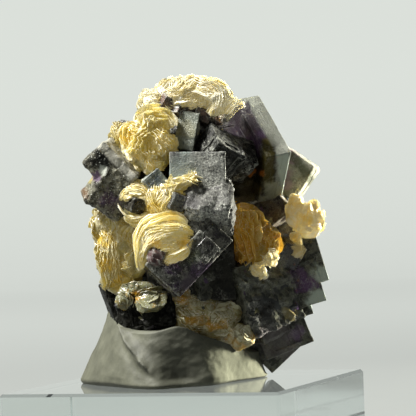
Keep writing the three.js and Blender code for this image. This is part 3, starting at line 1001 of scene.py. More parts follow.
# %% Sheets
# The points along a sheet and across it, its thickness and the spacing of its fine lines in mm.
ALONG, ACROSS = 8, 3
SHEET_THICKNESS = 0.08
SHEET_LINES = 0.9

# Where a sheet's points lie along and across it, from -1 to 1, and how wide it is there.
TAPER = 0.18
BLUNTNESS = 2.6
S = np.linspace(-1, 1, ALONG)[None, :, None]
T = np.linspace(-1, 1, ACROSS)[None, None, :]
WAIST = np.sqrt(1 - (1 - TAPER) * np.abs(S) ** BLUNTNESS)


def sheet_faces():
    """Four-cornered faces of one sheet: front, back, then its thin rim."""

    def at(i, j, back):
        return (i * ACROSS + j) * 2 + back

    faces = []
    for i in range(ALONG - 1):
        for j in range(ACROSS - 1):
            faces.append((at(i, j, 0), at(i + 1, j, 0), at(i + 1, j + 1, 0), at(i, j + 1, 0)))
            faces.append((at(i, j, 1), at(i, j + 1, 1), at(i + 1, j + 1, 1), at(i + 1, j, 1)))
        for j, flip in ((0, 1), (ACROSS - 1, 0)):
            rim = (at(i, j, 0), at(i + 1, j, 0), at(i + 1, j, 1), at(i, j, 1))
            faces.append(rim[::-1] if flip == 0 else rim)
    for j in range(ACROSS - 1):
        for i, flip in ((0, 1), (ALONG - 1, 0)):
            rim = (at(i, j, 0), at(i, j + 1, 0), at(i, j + 1, 1), at(i, j, 1))
            faces.append(rim[::-1] if flip else rim)
    return np.array(faces)


SHEET_FACES = sheet_faces()
SHEET_POINTS = ALONG * ACROSS * 2
print("a sheet:", SHEET_POINTS, "points and", len(SHEET_FACES), "faces")


def closed_sheets(points, normal, rim, flow):
    """Gives sheets their thickness. rim and flow are values of the points on one side."""
    count = len(points)
    half = normal * SHEET_THICKNESS / 2
    both = np.stack([points + half, points - half], axis=3)
    rim, flow = (np.repeat(value.reshape(count, -1), 2, axis=1) for value in (rim, flow))
    return both.reshape(count, SHEET_POINTS, 3), rim, flow


def swirl(points, per_mm):
    """A direction at each point that changes slowly, so that neighbours run side by side."""
    seed = int(DRAW.integers(1000))
    return np.stack([wander(points, per_mm, seed + 7 * k) for k in range(3)], axis=1)


def sheets(middle, along, across, length, width, bend, ripple, leaves, gap, sag=0.0):
    """Books of sheets. bend moves a sheet's ends off its plane, and sag moves them across it.

    Arrays go per book.
    """
    books = len(middle)
    count = books * leaves

    def per_sheet(values):
        return np.repeat(values, leaves, axis=0)

    across = unit(across - along * (across * along).sum(-1, keepdims=True))
    normal = np.cross(along, across)
    length, width, bend, ripple, sag = (
        per_sheet(np.broadcast_to(value, books))[:, None, None]
        for value in (length, width, bend, ripple, sag)
    )
    layer = np.tile(np.arange(leaves) - (leaves - 1) / 2, books)[:, None] * gap
    slip = DRAW.normal(0, 0.07, (2, count, 1)) * length[:, 0]
    middle, along, across, normal = (per_sheet(v) for v in (middle, along, across, normal))
    middle = middle + normal * layer + along * slip[0] + across * slip[1]
    phase = per_sheet(DRAW.uniform(0, 2 * pi, (books, 4)))[:, :, None, None]
    ragged = 1 + 0.1 * np.sin(3.1 * S + phase[:, 0]) + DRAW.normal(0, 0.08, (count, ALONG, 1))
    u = S * length / 2 + 0 * T
    v = T * WAIST * ragged * width / 2 - sag * S**2
    w = bend * S**2 + ripple * np.sin(4.5 * S + phase[:, 1])
    w = w + ripple * T * np.sin(7 * S + phase[:, 2]) + 0.6 * ripple * np.cos(2.6 * T + phase[:, 3])
    points = middle[:, None, None] + u[..., None] * along[:, None, None]
    points = points + v[..., None] * across[:, None, None] + w[..., None] * normal[:, None, None]
    rim = np.maximum(np.abs(S) ** 3, np.abs(T) ** 3) + np.zeros((count, 1, 1))
    flow = T * width / 2 / SHEET_LINES + 0 * S + DRAW.uniform(0, 1, (count, 1, 1))
    return closed_sheets(points, normal[:, None, None], rim, flow)


# %% [markdown]
# Mica grows in several habits on this piece. Scales stand up crinkled all over a dome. Plates are
# larger and lean every way. Petals are a few wide leaves that lie on a lump. Fibres are narrow
# slips that run together. Each habit is a rule that gives every book its middle and axes. All of
# them take the count of books, the clump's half sizes, the sheet size, what the clump faces, and a
# lean.

# %% Scales, plates, petals and fibres


def scales(books, half, size, facing, lean):
    """Small books over a dome, in swirls. lean is 0 for flat on it and 1 for standing up."""
    out = unit(DRAW.normal(size=(books, 3)) + np.array(facing) * 0.9)
    middle = out * half * DRAW.uniform(0.86, 1, (books, 1))
    along = unit(np.cross(out, swirl(middle, 0.07)))
    side = np.cross(out, along)
    tip = lean * DRAW.uniform(0.7, 1.2, (books, 1)) * pi / 2
    across = side * np.cos(tip) + out * np.sin(tip)
    length = size * DRAW.uniform(0.6, 1.4, books)
    width = 0.5 * size * DRAW.uniform(0.7, 1.2, books)
    bend = length**2 * DRAW.normal(0, 0.04, books)
    sag = length**2 / (8 * np.mean(half)) * lean
    return sheets(middle, along, across, length, width, bend, 0.04 * size, 4, 0.32, sag)


def plates(books, half, size, facing, lean):
    """Larger books in a lump, mostly with their faces towards facing."""
    out = unit(DRAW.normal(size=(books, 3)) + np.array(facing) * 0.8)
    middle = out * half * DRAW.uniform(0.7, 1.0, (books, 1))
    face = unit(out + DRAW.normal(0, lean, (books, 3)))
    along = unit(np.cross(face, swirl(middle, 0.05)))
    across = np.cross(face, along)
    length = size * DRAW.uniform(0.6, 1.2, books)
    width = length * DRAW.uniform(0.3, 0.75, books)
    return sheets(middle, along, across, length, width, -0.09 * length, 0.03 * size, 3, 0.24)


def petals(books, half, size, facing, lean):
    """A few wide sheets that lie smoothly on a lump, with their edges free."""
    out = unit(DRAW.normal(size=(books, 3)) + np.array(facing) * 0.8)
    middle = out * half * DRAW.uniform(0.9, 1.02, (books, 1))
    face = unit(out / half + DRAW.normal(0, 0.3 * lean / min(half), (books, 3)))
    along = unit(np.cross(face, DRAW.normal(size=face.shape)))
    across = np.cross(face, along)
    length = size * DRAW.uniform(0.7, 1.1, books)
    width = length * DRAW.uniform(0.7, 1.0, books)
    return sheets(middle, along, across, length, width, -0.12 * length, 0.02 * size, 2, 0.3)


def fibres(books, half, size, facing, lean):
    """Narrow slips that run along facing, edge-on over the lump's skin."""
    out = unit(DRAW.normal(size=(books, 3)) + np.array((0, -0.8, 0)))
    middle = out * half * DRAW.uniform(0.8, 1, (books, 1))
    along = unit(np.array(facing) + DRAW.normal(0, lean, (books, 3)))
    length = size * DRAW.uniform(0.6, 1.2, books)
    width = size * DRAW.uniform(0.1, 0.2, books)
    sag = length**2 / (10 * max(half))
    return sheets(middle, along, out, length, width, 0.06 * length, 0.02 * size, 3, 0.26, sag)


# %% [markdown]
# The bright flowers are made of long sheets on edge that sweep round like combed hair. For a comb,
# two lines on the clump's front are drawn, and every sheet follows a course between them.
# A book is one thick stack of leaves, seen at its edges.

# %% Combs and books


def curve_between(a, b, c, d, part):
    """A smooth curve's point a part of the way from b to c, where a and d are their neighbours."""
    cubic = 3 * (b - c) + d - a
    return b + 0.5 * part * (c - a + part * (2 * a - 5 * b + 4 * c - d + part * cubic))


def course(line, part):
    """Where a smooth line is, after a part of its length from 0 to 1."""
    knots = np.array(line, float)
    ends = np.concatenate([[2 * knots[0] - knots[1]], knots, [2 * knots[-1] - knots[-2]]])
    t = np.clip(part, 0, 0.9999) * (len(knots) - 1)
    i = t.astype(int)
    return curve_between(*(ends[i + j] for j in range(4)), (t - i)[..., None])


def comb(books, half, size, outer, inner):
    """Long sheets on edge that run side by side between two lines over the lump's front."""
    leaves = 3
    count = books * leaves

    def per_sheet(values):
        return np.repeat(values, leaves, axis=0)

    spread = np.abs(np.array(outer) - np.array(inner)).max()
    step = 0.55 * size / spread
    layer = np.tile(np.arange(leaves) - (leaves - 1) / 2, books) * step
    share = per_sheet(DRAW.uniform(0, 1, books)) + layer
    first = per_sheet(DRAW.uniform(-0.05, 0.7, books))
    last = first + per_sheet(DRAW.uniform(0.2, 0.9, books)) + DRAW.normal(0, 0.04, count)
    part = first[:, None] + (last - first)[:, None] * np.linspace(0, 1, ALONG)
    swing = per_sheet(DRAW.uniform(0, 2 * pi, books))[:, None]
    share = share[:, None] + 0.12 * np.sin(part * 5 + swing) + 0.05 * np.sin(part * 12 + 2 * swing)
    share = np.clip(share, 0, 1)[..., None]
    line = course(outer, part) * share + course(inner, part) * (1 - share)
    reach = (line[..., 0] / half[0]) ** 2 + (line[..., 1] / half[2]) ** 2
    depth = -half[1] * np.sqrt(np.clip(1 - reach, 0, 1))
    path = np.stack([line[..., 0], depth, line[..., 1]], axis=-1)
    out = unit(path / half**2 + np.array((0, -0.02, 0)))
    path = path + out * per_sheet(DRAW.normal(0, 0.3, books))[:, None, None]
    along = unit(np.gradient(path, axis=1) + 1e-6)
    side = unit(np.cross(along, out))
    tip = per_sheet(DRAW.normal(0, 0.7, books))[:, None]
    tip = (tip + 0.5 * np.sin(part * 6 + 3 * swing))[..., None]
    across = out * np.cos(tip) + side * np.sin(tip)
    normal = np.cross(along, across)
    phase = per_sheet(DRAW.uniform(0, 2 * pi, (books, 2)))[:, :, None, None]
    ragged = 1 + 0.14 * np.sin(5 * S + phase[:, 0]) + DRAW.normal(0, 0.05, (count, ALONG, 1))
    v = T * WAIST * ragged * size / 2 * DRAW.uniform(0.6, 1.5, (count, 1, 1))
    w = 0.16 * size * T * np.sin(7 * S + phase[:, 1]) + 0.06 * size * np.sin(13 * S + phase[:, 0])
    points = path[:, :, None] + v[..., None] * across[:, :, None]
    points = points + w[..., None] * normal[:, :, None]
    rim = np.maximum(np.abs(S) ** 6, (T > 0.5) * 0.9) + np.zeros((count, 1, 1))
    flow = 0.5 + 0.4 * T + 0 * S + np.zeros((count, 1, 1))
    return closed_sheets(points, normal[:, :, None], rim, flow)


def book(leaves, half, size, run, face):
    """One thick book, whose edges run along one direction and whose face looks along another."""
    along = unit(np.array([run]))
    across = np.cross(unit(np.array([face])), along)
    gap = 2 * half[2] / leaves
    middle = np.zeros((1, 3))
    return sheets(middle, along, across, 2 * half[0], 2 * half[1], 0.3, 0.06, leaves, gap)


HABITS = {rule.__name__: rule for rule in (scales, plates, petals, fibres, comb, book)}
print("habits:", ", ".join(HABITS))

# %% What each tuft is
# A clump: habit, middle, half sizes, count of books, sheet size, what it faces, and lean. The last
# two are the border lines of a comb, as places right and up, and the run and face of a book.
# Clumps with the same middle share one heart. Lengths are in mm.
FAN = ((-4.7, -7.8, 41.6), (4.6, 4.4, 6.4))
RING = ((-7.2, -9.6, 31.4), (3.9, 3.2, 4.0))
TUFTS = {
    "top_mica": [
        ("scales", (1.9, -4, 49.5), (6.9, 4.8, 4.0), 210, 1.7, (0, -0.7, 0.7), 0.85),
        ("scales", (-3.9, -4.6, 48.7), (3.4, 3.2, 2.8), 60, 1.6, (0, -0.6, 0.5), 0.8),
        ("scales", (6.6, -4.6, 49.4), (3.0, 3.2, 3.0), 30, 1.6, (0.4, -0.7, 0.5), 0.85),
        ("comb", (5.2, -4.4, 49.0), (5.2, 4.4, 4.6), 60, 0.9,
         [(3.4, 53.0), (6.2, 52.4), (8.6, 51), (9.4, 48.8), (8.8, 46.8)],
         [(2.6, 50.7), (4.6, 50.1), (5.9, 49.1), (6, 47.8), (5.4, 46.6)]),
        ("book", (9.2, -7.4, 47.3), (2.1, 1.5, 1.2), 10, 4.0,
         (-0.77, -0.1, -0.64), (0.64, 0, -0.77)),
    ],
    "upper_left_mica": [
        ("plates", (-4.7, -7.8, 41.6), (4.4, 4.2, 6.2), 22, 2.8, (-0.3, -1, 0.4), 1.1),
        ("scales", (-4.7, -7.8, 41.6), (4.4, 4.2, 6.2), 20, 1.5, (-0.3, -1, 0.3), 0.8),
        ("comb", *FAN, 10, 1.7,
         [(-7.4, 43.6), (-6.9, 46.4), (-4.7, 47.8), (-2.1, 47.5), (-0.6, 45.2)],
         [(-6, 43.8), (-5.2, 45), (-3.9, 45.5), (-2.5, 45.2), (-1.7, 44.1)]),
        ("comb", *FAN, 8, 1.4,
         [(-5.6, 44.8), (-7.2, 42.6), (-8.4, 40.4)], [(-4.8, 43.6), (-5.6, 42), (-6.2, 40)]),
        ("comb", *FAN, 8, 1.4,
         [(-5.2, 44), (-4.2, 42.2), (-3.4, 40)], [(-4.2, 44.6), (-2.7, 42.8), (-1.7, 40.6)]),
        ("comb", *FAN, 9, 1.2,
         [(-6.6, 40.6), (-5.6, 38.8), (-4.3, 36.9)], [(-2.2, 40.8), (-2.6, 38.8), (-3.3, 36.9)]),
        ("comb", *FAN, 7, 1.3,
         [(-3, 44.2), (-1.6, 42.9), (-0.4, 41.2)], [(-3.6, 42.6), (-2.2, 41.2), (-1.1, 39.8)]),
        ("comb", (-7.8, -6.4, 41.6), (3.0, 3.4, 4.4), 12, 1.1,
         [(-6.9, 45.4), (-9.2, 44.6), (-9.4, 42.4), (-7.8, 39.8)],
         [(-6.5, 44.4), (-7.2, 42.8), (-7.2, 41), (-6.6, 39)]),
    ],
    "shoulder_mica": [
        ("scales", (-9.4, -4, 43.2), (2.8, 2.4, 2.8), 36, 1.8, (-0.3, -0.6, 0.5), 0.8),
    ],
    "centre_mica": [
        ("comb", (-2.4, -10.2, 31.6), (4.6, 4.2, 4.6), 80, 0.6,
         [(-4.9, 34.8), (-5.3, 32.7), (-5.2, 31), (-4.5, 29)],
         [(1.3, 34.9), (0.7, 32.8), (0.8, 30.8), (1.4, 28.7)]),
        ("comb", *RING, 30, 0.55,
         [(-11, 32.8), (-9.4, 34.8), (-7, 35.2), (-4.8, 34.4), (-2.8, 33.4)],
         [(-9.8, 31.6), (-8.9, 32.3), (-7.6, 32.5), (-6, 32.1), (-4, 31)]),
        ("comb", *RING, 18, 0.55,
         [(-10.6, 31.6), (-9.4, 29.9), (-7.6, 29.5), (-5.6, 29.8), (-4, 30.8)],
         [(-10.2, 29.4), (-8.6, 28.2), (-6.8, 27.6), (-5.2, 28), (-3.8, 28.8)]),
        ("comb", *RING, 12, 0.6,
         [(-6.8, 34.6), (-6.2, 32.6), (-5.6, 30.4)], [(-4.8, 34.6), (-4.2, 32), (-4, 29.4)]),
    ],
    "crest_mica": [
        ("fibres", (0.4, -14.0, 34.9), (2.6, 1.2, 1.3), 34, 4.2, (1, -0.2, 0.35), 0.26),
        ("fibres", (-1.2, -14, 33.0), (1.2, 1.2, 2.6), 26, 3.6, (0.2, -0.1, 1), 0.24),
    ],
    "front_mica_rosette": [
        ("comb", (-2.9, -12.8, 24.8), (5.1, 4.3, 4.9), 120, 0.7,
         [(2.1, 25.5), (1, 27.3), (-1.1, 28.9), (-4, 29.1), (-6.4, 28), (-7.4, 25.6),
          (-7.4, 23.2), (-6.9, 20.7)],
         [(2.1, 25.2), (0.5, 26.1), (-1.5, 26.1), (-3.4, 25.5), (-5, 24.6), (-5.9, 23.4),
          (-6.4, 22.3), (-6.6, 20.7)]),
        ("comb", (-2.4, -13.2, 24.6), (4.4, 3.6, 3.4), 46, 0.7,
         [(2, 25.3), (-0.2, 25.8), (-2.4, 25.5), (-4.3, 24.5), (-5.5, 23)],
         [(1.4, 24.5), (-0.1, 24.1), (-1.5, 23.8), (-2.7, 23.5), (-3.7, 23.2)]),
        ("comb", (-1.4, -13.2, 24), (3.8, 3.4, 3.6), 48, 0.7,
         [(1.8, 25.2), (0.9, 24.2), (-0.3, 23.5), (-1.8, 22.9), (-2.9, 22.1)],
         [(1.2, 23.8), (0.9, 22.8), (0.2, 22.2), (-1, 21.7), (-2.4, 21.1)]),
        ("scales", (-3.6, -13.4, 26.4), (3.6, 3.0, 2.8), 24, 1.2, (-0.2, -1, 0.5), 0.8),
    ],
    "left_mica": [
        ("plates", (-12.4, -2, 27.4), (4.2, 3.6, 4.6), 17, 3.8, (-0.4, -1, 0.1), 0.35),
        ("plates", (-10.8, -2.6, 20.4), (4.6, 3.6, 6.6), 18, 4.0, (-0.2, -1, 0), 0.4),
        ("comb", (-12.4, -2.6, 22.0), (3.6, 3.8, 6.2), 34, 1.0,
         [(-15.3, 27.2), (-14.7, 24), (-14, 20.9), (-13.4, 17.4)],
         [(-12.1, 27.6), (-11.5, 24.3), (-11.1, 21.5), (-10.9, 18)]),
        ("scales", (-8.4, -5.2, 24.6), (3.6, 2.8, 6.4), 28, 2.4, (0, -1, 0.3), 0.5),
    ],
    "lower_left_mica": [
        ("petals", (-10.2, -7.6, 15.0), (1.5, 1.4, 2.3), 5, 2.6, (-0.2, -1, 0.2), 0.2),
        ("petals", (-5.8, -8.2, 14.4), (3.2, 2.4, 2.2), 11, 3.6, (0, -1, 0.2), 0.9),
        ("petals", (-7.6, -7.2, 16.8), (3.6, 1.9, 1.6), 6, 2.6, (0, -1, 0.5), 0.4),
    ],
    "right_mica": [
        ("petals", (10.6, -3.6, 26.6), (3.6, 3.2, 5.0), 12, 3.6, (0.1, -1, 0.1), 0.35),
        ("comb", (11.2, -3.4, 26.2), (4.4, 3.6, 6.0), 7, 2.0,
         [(9.3, 31.6), (9, 28.9), (9.2, 25.4), (9.6, 21.6)],
         [(11.3, 30.6), (13.2, 28.4), (14.1, 25.2), (13, 20.6)]),
        ("petals", (12.2, -3.8, 22.6), (4.0, 3.1, 4.0), 10, 3.0, (0, -1, 0.2), 0.3),
        ("comb", (15.8, -3.4, 24.4), (1.9, 2.6, 3.2), 8, 1.0,
         [(15.0, 27.2), (14.6, 25.4), (14.7, 23.6), (15, 21.8)],
         [(16.6, 27.0), (17.4, 25.2), (17.2, 23.4), (16.2, 21.8)]),
    ],
    "right_mica_rosette": [
        ("petals", (22.2, 0.6, 27.4), (3.2, 2.7, 3.6), 12, 3.2, (0.1, -1, 0.2), 0.9),
        ("scales", (22.2, 0.6, 27.4), (3.3, 2.8, 3.7), 16, 1.5, (0.1, -1, 0.2), 0.5),
        ("petals", (20.2, 0.4, 28.4), (2.4, 2.3, 2.8), 7, 2.2, (-0.2, -1, 0.2), 0.6),
        ("petals", (20.2, 0.8, 30.8), (1.7, 1.6, 1.5), 4, 1.8, (0, -1, 0.5), 0.4),
        ("petals", (20.0, -0.4, 23.6), (1.5, 1.4, 2.3), 5, 2.2, (0.2, -1, 0.2), 0.3),
    ],
    "pearl_mica": [
        ("scales", (15.2, -6.2, 21.3), (1.35, 1.3, 1.5), 18, 1.2, (0, -1, 0.3), 0.5),
        ("plates", (12.9, -5.4, 19.2), (2.0, 1.8, 1.8), 14, 2.2, (0, -1, 0.3), 0.7),
    ],
    "lower_mica": [
        ("petals", (-1.2, -5.6, 15.0), (3.6, 2.6, 2.6), 8, 4.4, (0, -1, 0.2), 0.85),
        ("petals", (2.8, -5.8, 13.0), (4.0, 2.4, 3.2), 9, 4.8, (0, -1, 0.2), 0.85),
        ("petals", (6.0, -5.8, 11.6), (3.6, 2.4, 2.9), 8, 4.4, (0.1, -1, 0.2), 0.85),
        ("petals", (1.0, -6.4, 10.8), (4.6, 2.8, 2.5), 9, 3.4, (0, -1, 0.2), 0.6),
        ("petals", (5.2, -6.2, 9.6), (3.9, 2.6, 2.2), 9, 3.4, (0, -1, 0.2), 0.6),
        ("petals", (8.8, -5.8, 7.8), (3.8, 2.8, 2.8), 14, 3.4, (0.1, -1, 0.2), 0.6),
        ("petals", (12.4, -5.2, 9.2), (1.3, 0.8, 1.3), 5, 1.8, (0.3, -1, 0.2), 0.5),
    ],
    "back_mica": [
        ("plates", (-1.6, 12, 33.6), (4.8, 4.0, 5.2), 20, 4.4, (0, 1, 0.2), 0.4),
        ("scales", (-1.6, 12, 33.6), (4.4, 3.8, 4.8), 20, 2.4, (0, 1, 0.3), 0.5),
    ],
    "back_low_mica": [
        ("plates", (-3, 13, 21), (4.4, 2.8, 4.0), 15, 4.0, (0, 1, 0.1), 0.4),
        ("scales", (-3, 13, 21), (4.2, 2.8, 3.8), 15, 2.2, (0, 1, 0.2), 0.5),
    ],
}


print("clumps:", sum(len(clumps) for clumps in TUFTS.values()))

# %% [markdown]
# Real tufts are full of leaves. Here the leaves cover a closed lump, the heart, so that nobody
# looks through the gaps. It has folds of its own, and it carries the number of the leaf edge at
# each of its points, so that the finish can draw edges on it that go on between the real leaves.

# %% Hearts
# A heart: its share of the clump's size, the spacing of its leaf edges and how crooked they are,
# and the depth of its folds, in mm.
HEARTS = {
    "scales": (0.94, 0.5, 3.4, 0.36),
    "plates": (0.84, 0.7, 2.4, 0.3),
    "petals": (0.92, 1.6, 2.0, 0.1),
    "fibres": (0.92, 0.42, 0.35, 0.2),
    "comb": (0.8, 0.5, 0.5, 0.15),
}
HEART_CELL = 0.32
HEART_SINK = 0.2


def heart(habit, half, facing):
    """The closed heart of a clump, and the running number of the leaf edge at each point."""
    share, spacing, warp, depth = HEARTS[habit]
    half = half * share - HEART_SINK
    count = int(1.9 * max(half) / HEART_CELL)
    even = np.tan(np.linspace(-1, 1, count) * pi / 4)
    points, faces = surface_grid([even] * 3)
    out = unit(points)
    where = out * half
    seed = int(DRAW.integers(1000))
    if habit == "comb":
        way = np.array(facing[-1]) - np.array(facing[0])
        flow = where @ unit(np.array((-way[1], 0.3, way[0])))
    elif habit == "fibres":
        flow = where @ unit(np.cross(facing, (0.0, 1, 0.2)))
    else:
        flow = where @ unit(DRAW.normal(size=3))
    flow = flow + warp * wander(where, 0.13, seed) + 0.35 * wander(where, 0.5, seed + 1)
    fold = 1 - 2 * np.abs(wander(where, 0.16, seed + 2))
    rise = depth * fold + 0.08 * wander(where, 0.45, seed + 3)
    return where + out * rise[:, None] * min(1, min(half) / 2), faces, flow / spacing


# %% Tufts
LEAF_CREASE_ANGLE = 50


def tuft(name, clumps):
    """One object from the leaves and hearts of its clumps, with the values its finish reads."""
    points, faces, hearts, start = [], [], [], 0
    values = {"rim": [], "tone": [], "flow": []}
    for habit, at, half, books, size, facing, lean in clumps:
        half = np.array(half)
        if habit == "comb":
            facing, lean = (np.array(line) - (at[0], at[2]) for line in (facing, lean))
        room = half if habit in ("book", "comb") else half - 0.2 * size
        where, rim, flow = HABITS[habit](books, room, size, facing, lean)
        count = len(where)
        shift = start + np.arange(count)[:, None, None] * SHEET_POINTS
        faces += (SHEET_FACES[None] + shift).reshape(-1, 4).tolist()
        where = where.reshape(-1, 3)
        points.append(where + at)
        values["rim"].append(rim.ravel())
        values["flow"].append(flow.ravel())
        values["tone"].append(np.repeat(DRAW.uniform(0, 1, count), SHEET_POINTS))
        start += len(where)
        if habit == "book" or at in hearts:
            continue
        hearts.append(at)
        where, sides, flow = heart(habit, half, facing)
        faces += (np.array(sides) + start).tolist()
        points.append(where + at)
        values["rim"].append(np.zeros(len(where)))
        values["flow"].append(flow)
        values["tone"].append(0.5 + 0.5 * wander(where, 0.2, len(sides)))
        start += len(where)
    thing = new_object(name, np.concatenate(points), faces)
    for key, numbers in values.items():
        layer = thing.data.attributes.new(key, "FLOAT", "POINT")
        layer.data.foreach_set("value", np.concatenate(numbers).astype(np.float32))
    thing.data.shade_smooth()
    thing.data.set_sharp_from_angle(angle=radians(LEAF_CREASE_ANGLE))
    return thing


# %% [markdown]
# Mica looks pearly because light reflects from many leaves at once. A Principled shader with a coat
# gives the gloss. Thin leaves let light through as well, so it is mixed with a translucent shader,
# which has one plain colour for each finish. The colour runs from amber between the leaves to
# silvery cream at their rims. The amber in crevices and behind the drawn leaf edges is painted
# shade, the lighter drawn edges are partly pale rims and partly painted highlight, and a faint
# emission there is a painted glow. Stains lie in places, with small painted glints on top.

# %% A tuft's finish


def openness(finish, reach):
    """1 where the spot is open and 0 deep in a crevice, as far as reach in mm."""
    settings = {"samples": 4, "only_local": True}
    sockets = {"Distance": reach * MM}
    return finish.node("ShaderNodeAmbientOcclusion", settings, sockets, out="AO")


def kept_value(finish, name):
    """A value that was kept for every point of a tuft."""
    return finish.node("ShaderNodeAttribute", {"attribute_name": name}, None, out="Fac")


def mica(name, shade_and_stain_tone, body, rim, relief, stain_colour, stains=()):
    """shade_and_stain_tone is painted shade between the leaves and also colours stains, flecks and
    the darkest leaves; body lies on the leaves, and rim at their edges.

    relief is how strongly the leaf edges stand out. stains are the places, patches or zones, where
    the stain's colour is strong. A leaf's own tone comes from its tone value, and the edges drawn
    on it come from its flow value.
    """
    finish = Finish(name)
    tone = kept_value(finish, "tone")
    stain = finish.noise(0.3, 4, 0.6).smooth(0.52, 0.68)
    flow = kept_value(finish, "flow") + finish.noise(0.8, 3, 0.6) * 1.4
    line = flow.fraction()
    clear = finish.noise(0.5, 2).smooth(0.24, 0.46)
    # gap is painted shade: the valley behind each drawn leaf edge goes to the shade and stain tone.
    # edge lightens the drawn edge, partly the leaf's own pale rim and partly a painted highlight.
    gap = (1 - line).smooth(0.4, 1) * clear
    edge = line.smooth(0.45, 0.95) * clear * relief + kept_value(finish, "rim") ** 1.5
    # crevice is painted shade: where ambient occlusion finds a crevice, the colour goes to the
    # shade and stain tone.
    crevice = 1 - openness(finish, 0.9).smooth(0.15, 0.6)
    colour = finish.mix(tone.smooth(0.2, 1.0), body, rim)
    colour = finish.mix(0.6 - tone.smooth(0.0, 0.35) * 0.6, colour, shade_and_stain_tone)
    flecks = finish.noise(2.6, 2, 0.6).smooth(0.5, 0.62)
    colour = finish.mix(flecks * 0.45 * relief, colour, shade_and_stain_tone)
    colour = finish.mix(edge * 0.9, colour, rim)
    spots = finish.noise(1.1, 2).smooth(0.56, 0.66) * 0.5
    colour = finish.mix(stain * 0.4 + gap * 0.6 + crevice * 0.7, colour, shade_and_stain_tone)
    for place in stains:
        spots = spots + blotch(finish, place) * finish.noise(1.0, 3).smooth(0.3, 0.6) * 1.2
    colour = finish.mix(spots * 0.7, colour, stain_colour)
    glints = (1 - cells(finish, 3.2).smooth(0.14, 0.3)) * facing_up(finish).smooth(-0.4, 0.3)
    colour = finish.mix(glints, colour, grey(1.0))
    grain = finish.noise(2.0, 3, 0.6)
    leaf = finish.principled(
        Base_Color=colour,
        Roughness=grain * 0.5 + 0.02,
        Coat_Weight=0.1 + 0.8 * relief,
        Coat_Roughness=0.06,
        Specular_IOR_Level=0.8,
        Normal=finish.bump(line * clear + grain * 0.6, 0.3, relief),
        # Painted glow: a faint emission in the crevices and at the glints stands in for light that
        # passes through the leaves.
        Emission_Color=finish.mix(crevice * 0.5 + glints * 0.5, grey(0.0), colour),
        Emission_Strength=0.3,
    )
    through = [0.35 * d + 0.45 * b + 0.2 * r for d, b, r in zip(shade_and_stain_tone, body, rim)]
    glow = finish.node("ShaderNodeBsdfTranslucent", None, {"Color": through})
    both = finish.node("ShaderNodeMixShader", None, {0: 0.42, 1: leaf, 2: glow})
    return finish.close(both)


# %% What each tuft's finish is
AMBER_STAIN = (0.9, 0.68, 0.1, 1)
RUST_STAIN = (0.62, 0.33, 0.01, 1)
WHITE_PEARL = (1, 1, 0.95, 1)

# A finish: the tone between the leaves, which is painted shade there and also colours stains and
# flecks, the tones on the leaves and at their rims, how strongly the leaf edges stand out, the
# stain's colour, and where the stain is strong.
MICA_TONES = {
    "silver": (
        (0.8, 0.69, 0.3, 1), (0.97, 0.95, 0.7, 1), (1, 1, 0.96, 1), 0.9, WHITE_PEARL,
        [(8.0, 49.6, 3.0), (-5.4, 49.4, 1.6)],
    ),
    "cream": (
        (0.88, 0.76, 0.24, 1), (1, 0.99, 0.66, 1), (1, 1, 0.96, 1), 0.9, AMBER_STAIN,
        [(-1.6, 28.8, 1.3), (-4.4, 24.4, 1.0), (0.4, 24.6, 1.0)],
    ),
    "honey": (
        (0.9, 0.76, 0.3, 1), (1, 1, 0.78, 1), (1, 1, 0.95, 1), 0.35, (0.92, 0.7, 0.12, 1),
        [(22, 27.6, 1.0), (20, 30.8, 1.0), (19.6, 24.6, 0.8)],
    ),
    "gold": (
        (0.78, 0.65, 0.15, 1), (0.99, 0.95, 0.52, 1), (1, 1, 0.9, 1), 0.9, AMBER_STAIN,
        [(-9, 43.6, 1.8), (-4.6, 30.6, 1.4)],
    ),
    "amber": (
        (0.55, 0.42, 0.06, 1), (0.74, 0.68, 0.28, 1), (0.95, 0.94, 0.7, 1), 0.8, AMBER_STAIN,
        [(-13.6, 25.4, 1.5), (-13, 21, 1.2), (-11, 17.6, 1.4), (-9.4, 42, 1.6)],
    ),
    "rust": ((0.5, 0.3, 0.012, 1), (0.7, 0.5, 0.06, 1), (0.9, 0.78, 0.3, 1), 0.3, AMBER_STAIN),
    "olive": (
        (0.16, 0.1, 0.004, 1), (0.45, 0.41, 0.14, 1), (0.85, 0.85, 0.58, 1), 0.4, RUST_STAIN,
        [(2.2, 11, 2.0, 0.6, 0), (11.9, 8.6, 0.4, 1.9, 0), (8.8, 6.6, 2.2, 0.6, -40),
         (5.6, 10, 1.6, 0.6, 10), (-0.4, 15.4, 1.4)],
    ),
    "pale": (
        (0.1, 0.075, 0.015, 1), (0.25, 0.25, 0.12, 1), (0.42, 0.43, 0.27, 1), 0.25, RUST_STAIN,
        [(-8.2, 15.6, 1.0), (-10.4, 12.8, 0.7)],
    ),
}

# The finish of each tuft that isn't gold.
TUFT_FINISH = {
    "top_mica": "silver",
    "front_mica_rosette": "cream",
    "pearl_mica": "silver",
    "shoulder_mica": "amber",
    "left_mica": "amber",
    "right_mica": "rust",
    "right_mica_rosette": "honey",
    "back_low_mica": "amber",
    "lower_mica": "olive",
    "lower_left_mica": "pale",
}
print("mica finishes:", ", ".join(MICA_TONES))

# %% Grow the tufts
MICA_FINISHES = {key: mica(key + "_mica", *tones) for key, tones in MICA_TONES.items()}
slots = {row["node"]: row["material_slot"] for row in frame["record"]["subparts"]}
for name, clumps in TUFTS.items():
    piece = tuft(name + "_leaves", clumps)
    settle(piece, MICA_FINISHES[TUFT_FINISH.get(name, "gold")], slots[name], name)

# %% [markdown]
# ## The tack
#
# The tack is a soft putty that was squeezed by fingers between the block and the specimen. Its foot
# and its rim are the same curves as in the CAD model, with many more points between them. Finger
# ridges, a pinched crease and pressed dents are pushed into that dense skin.

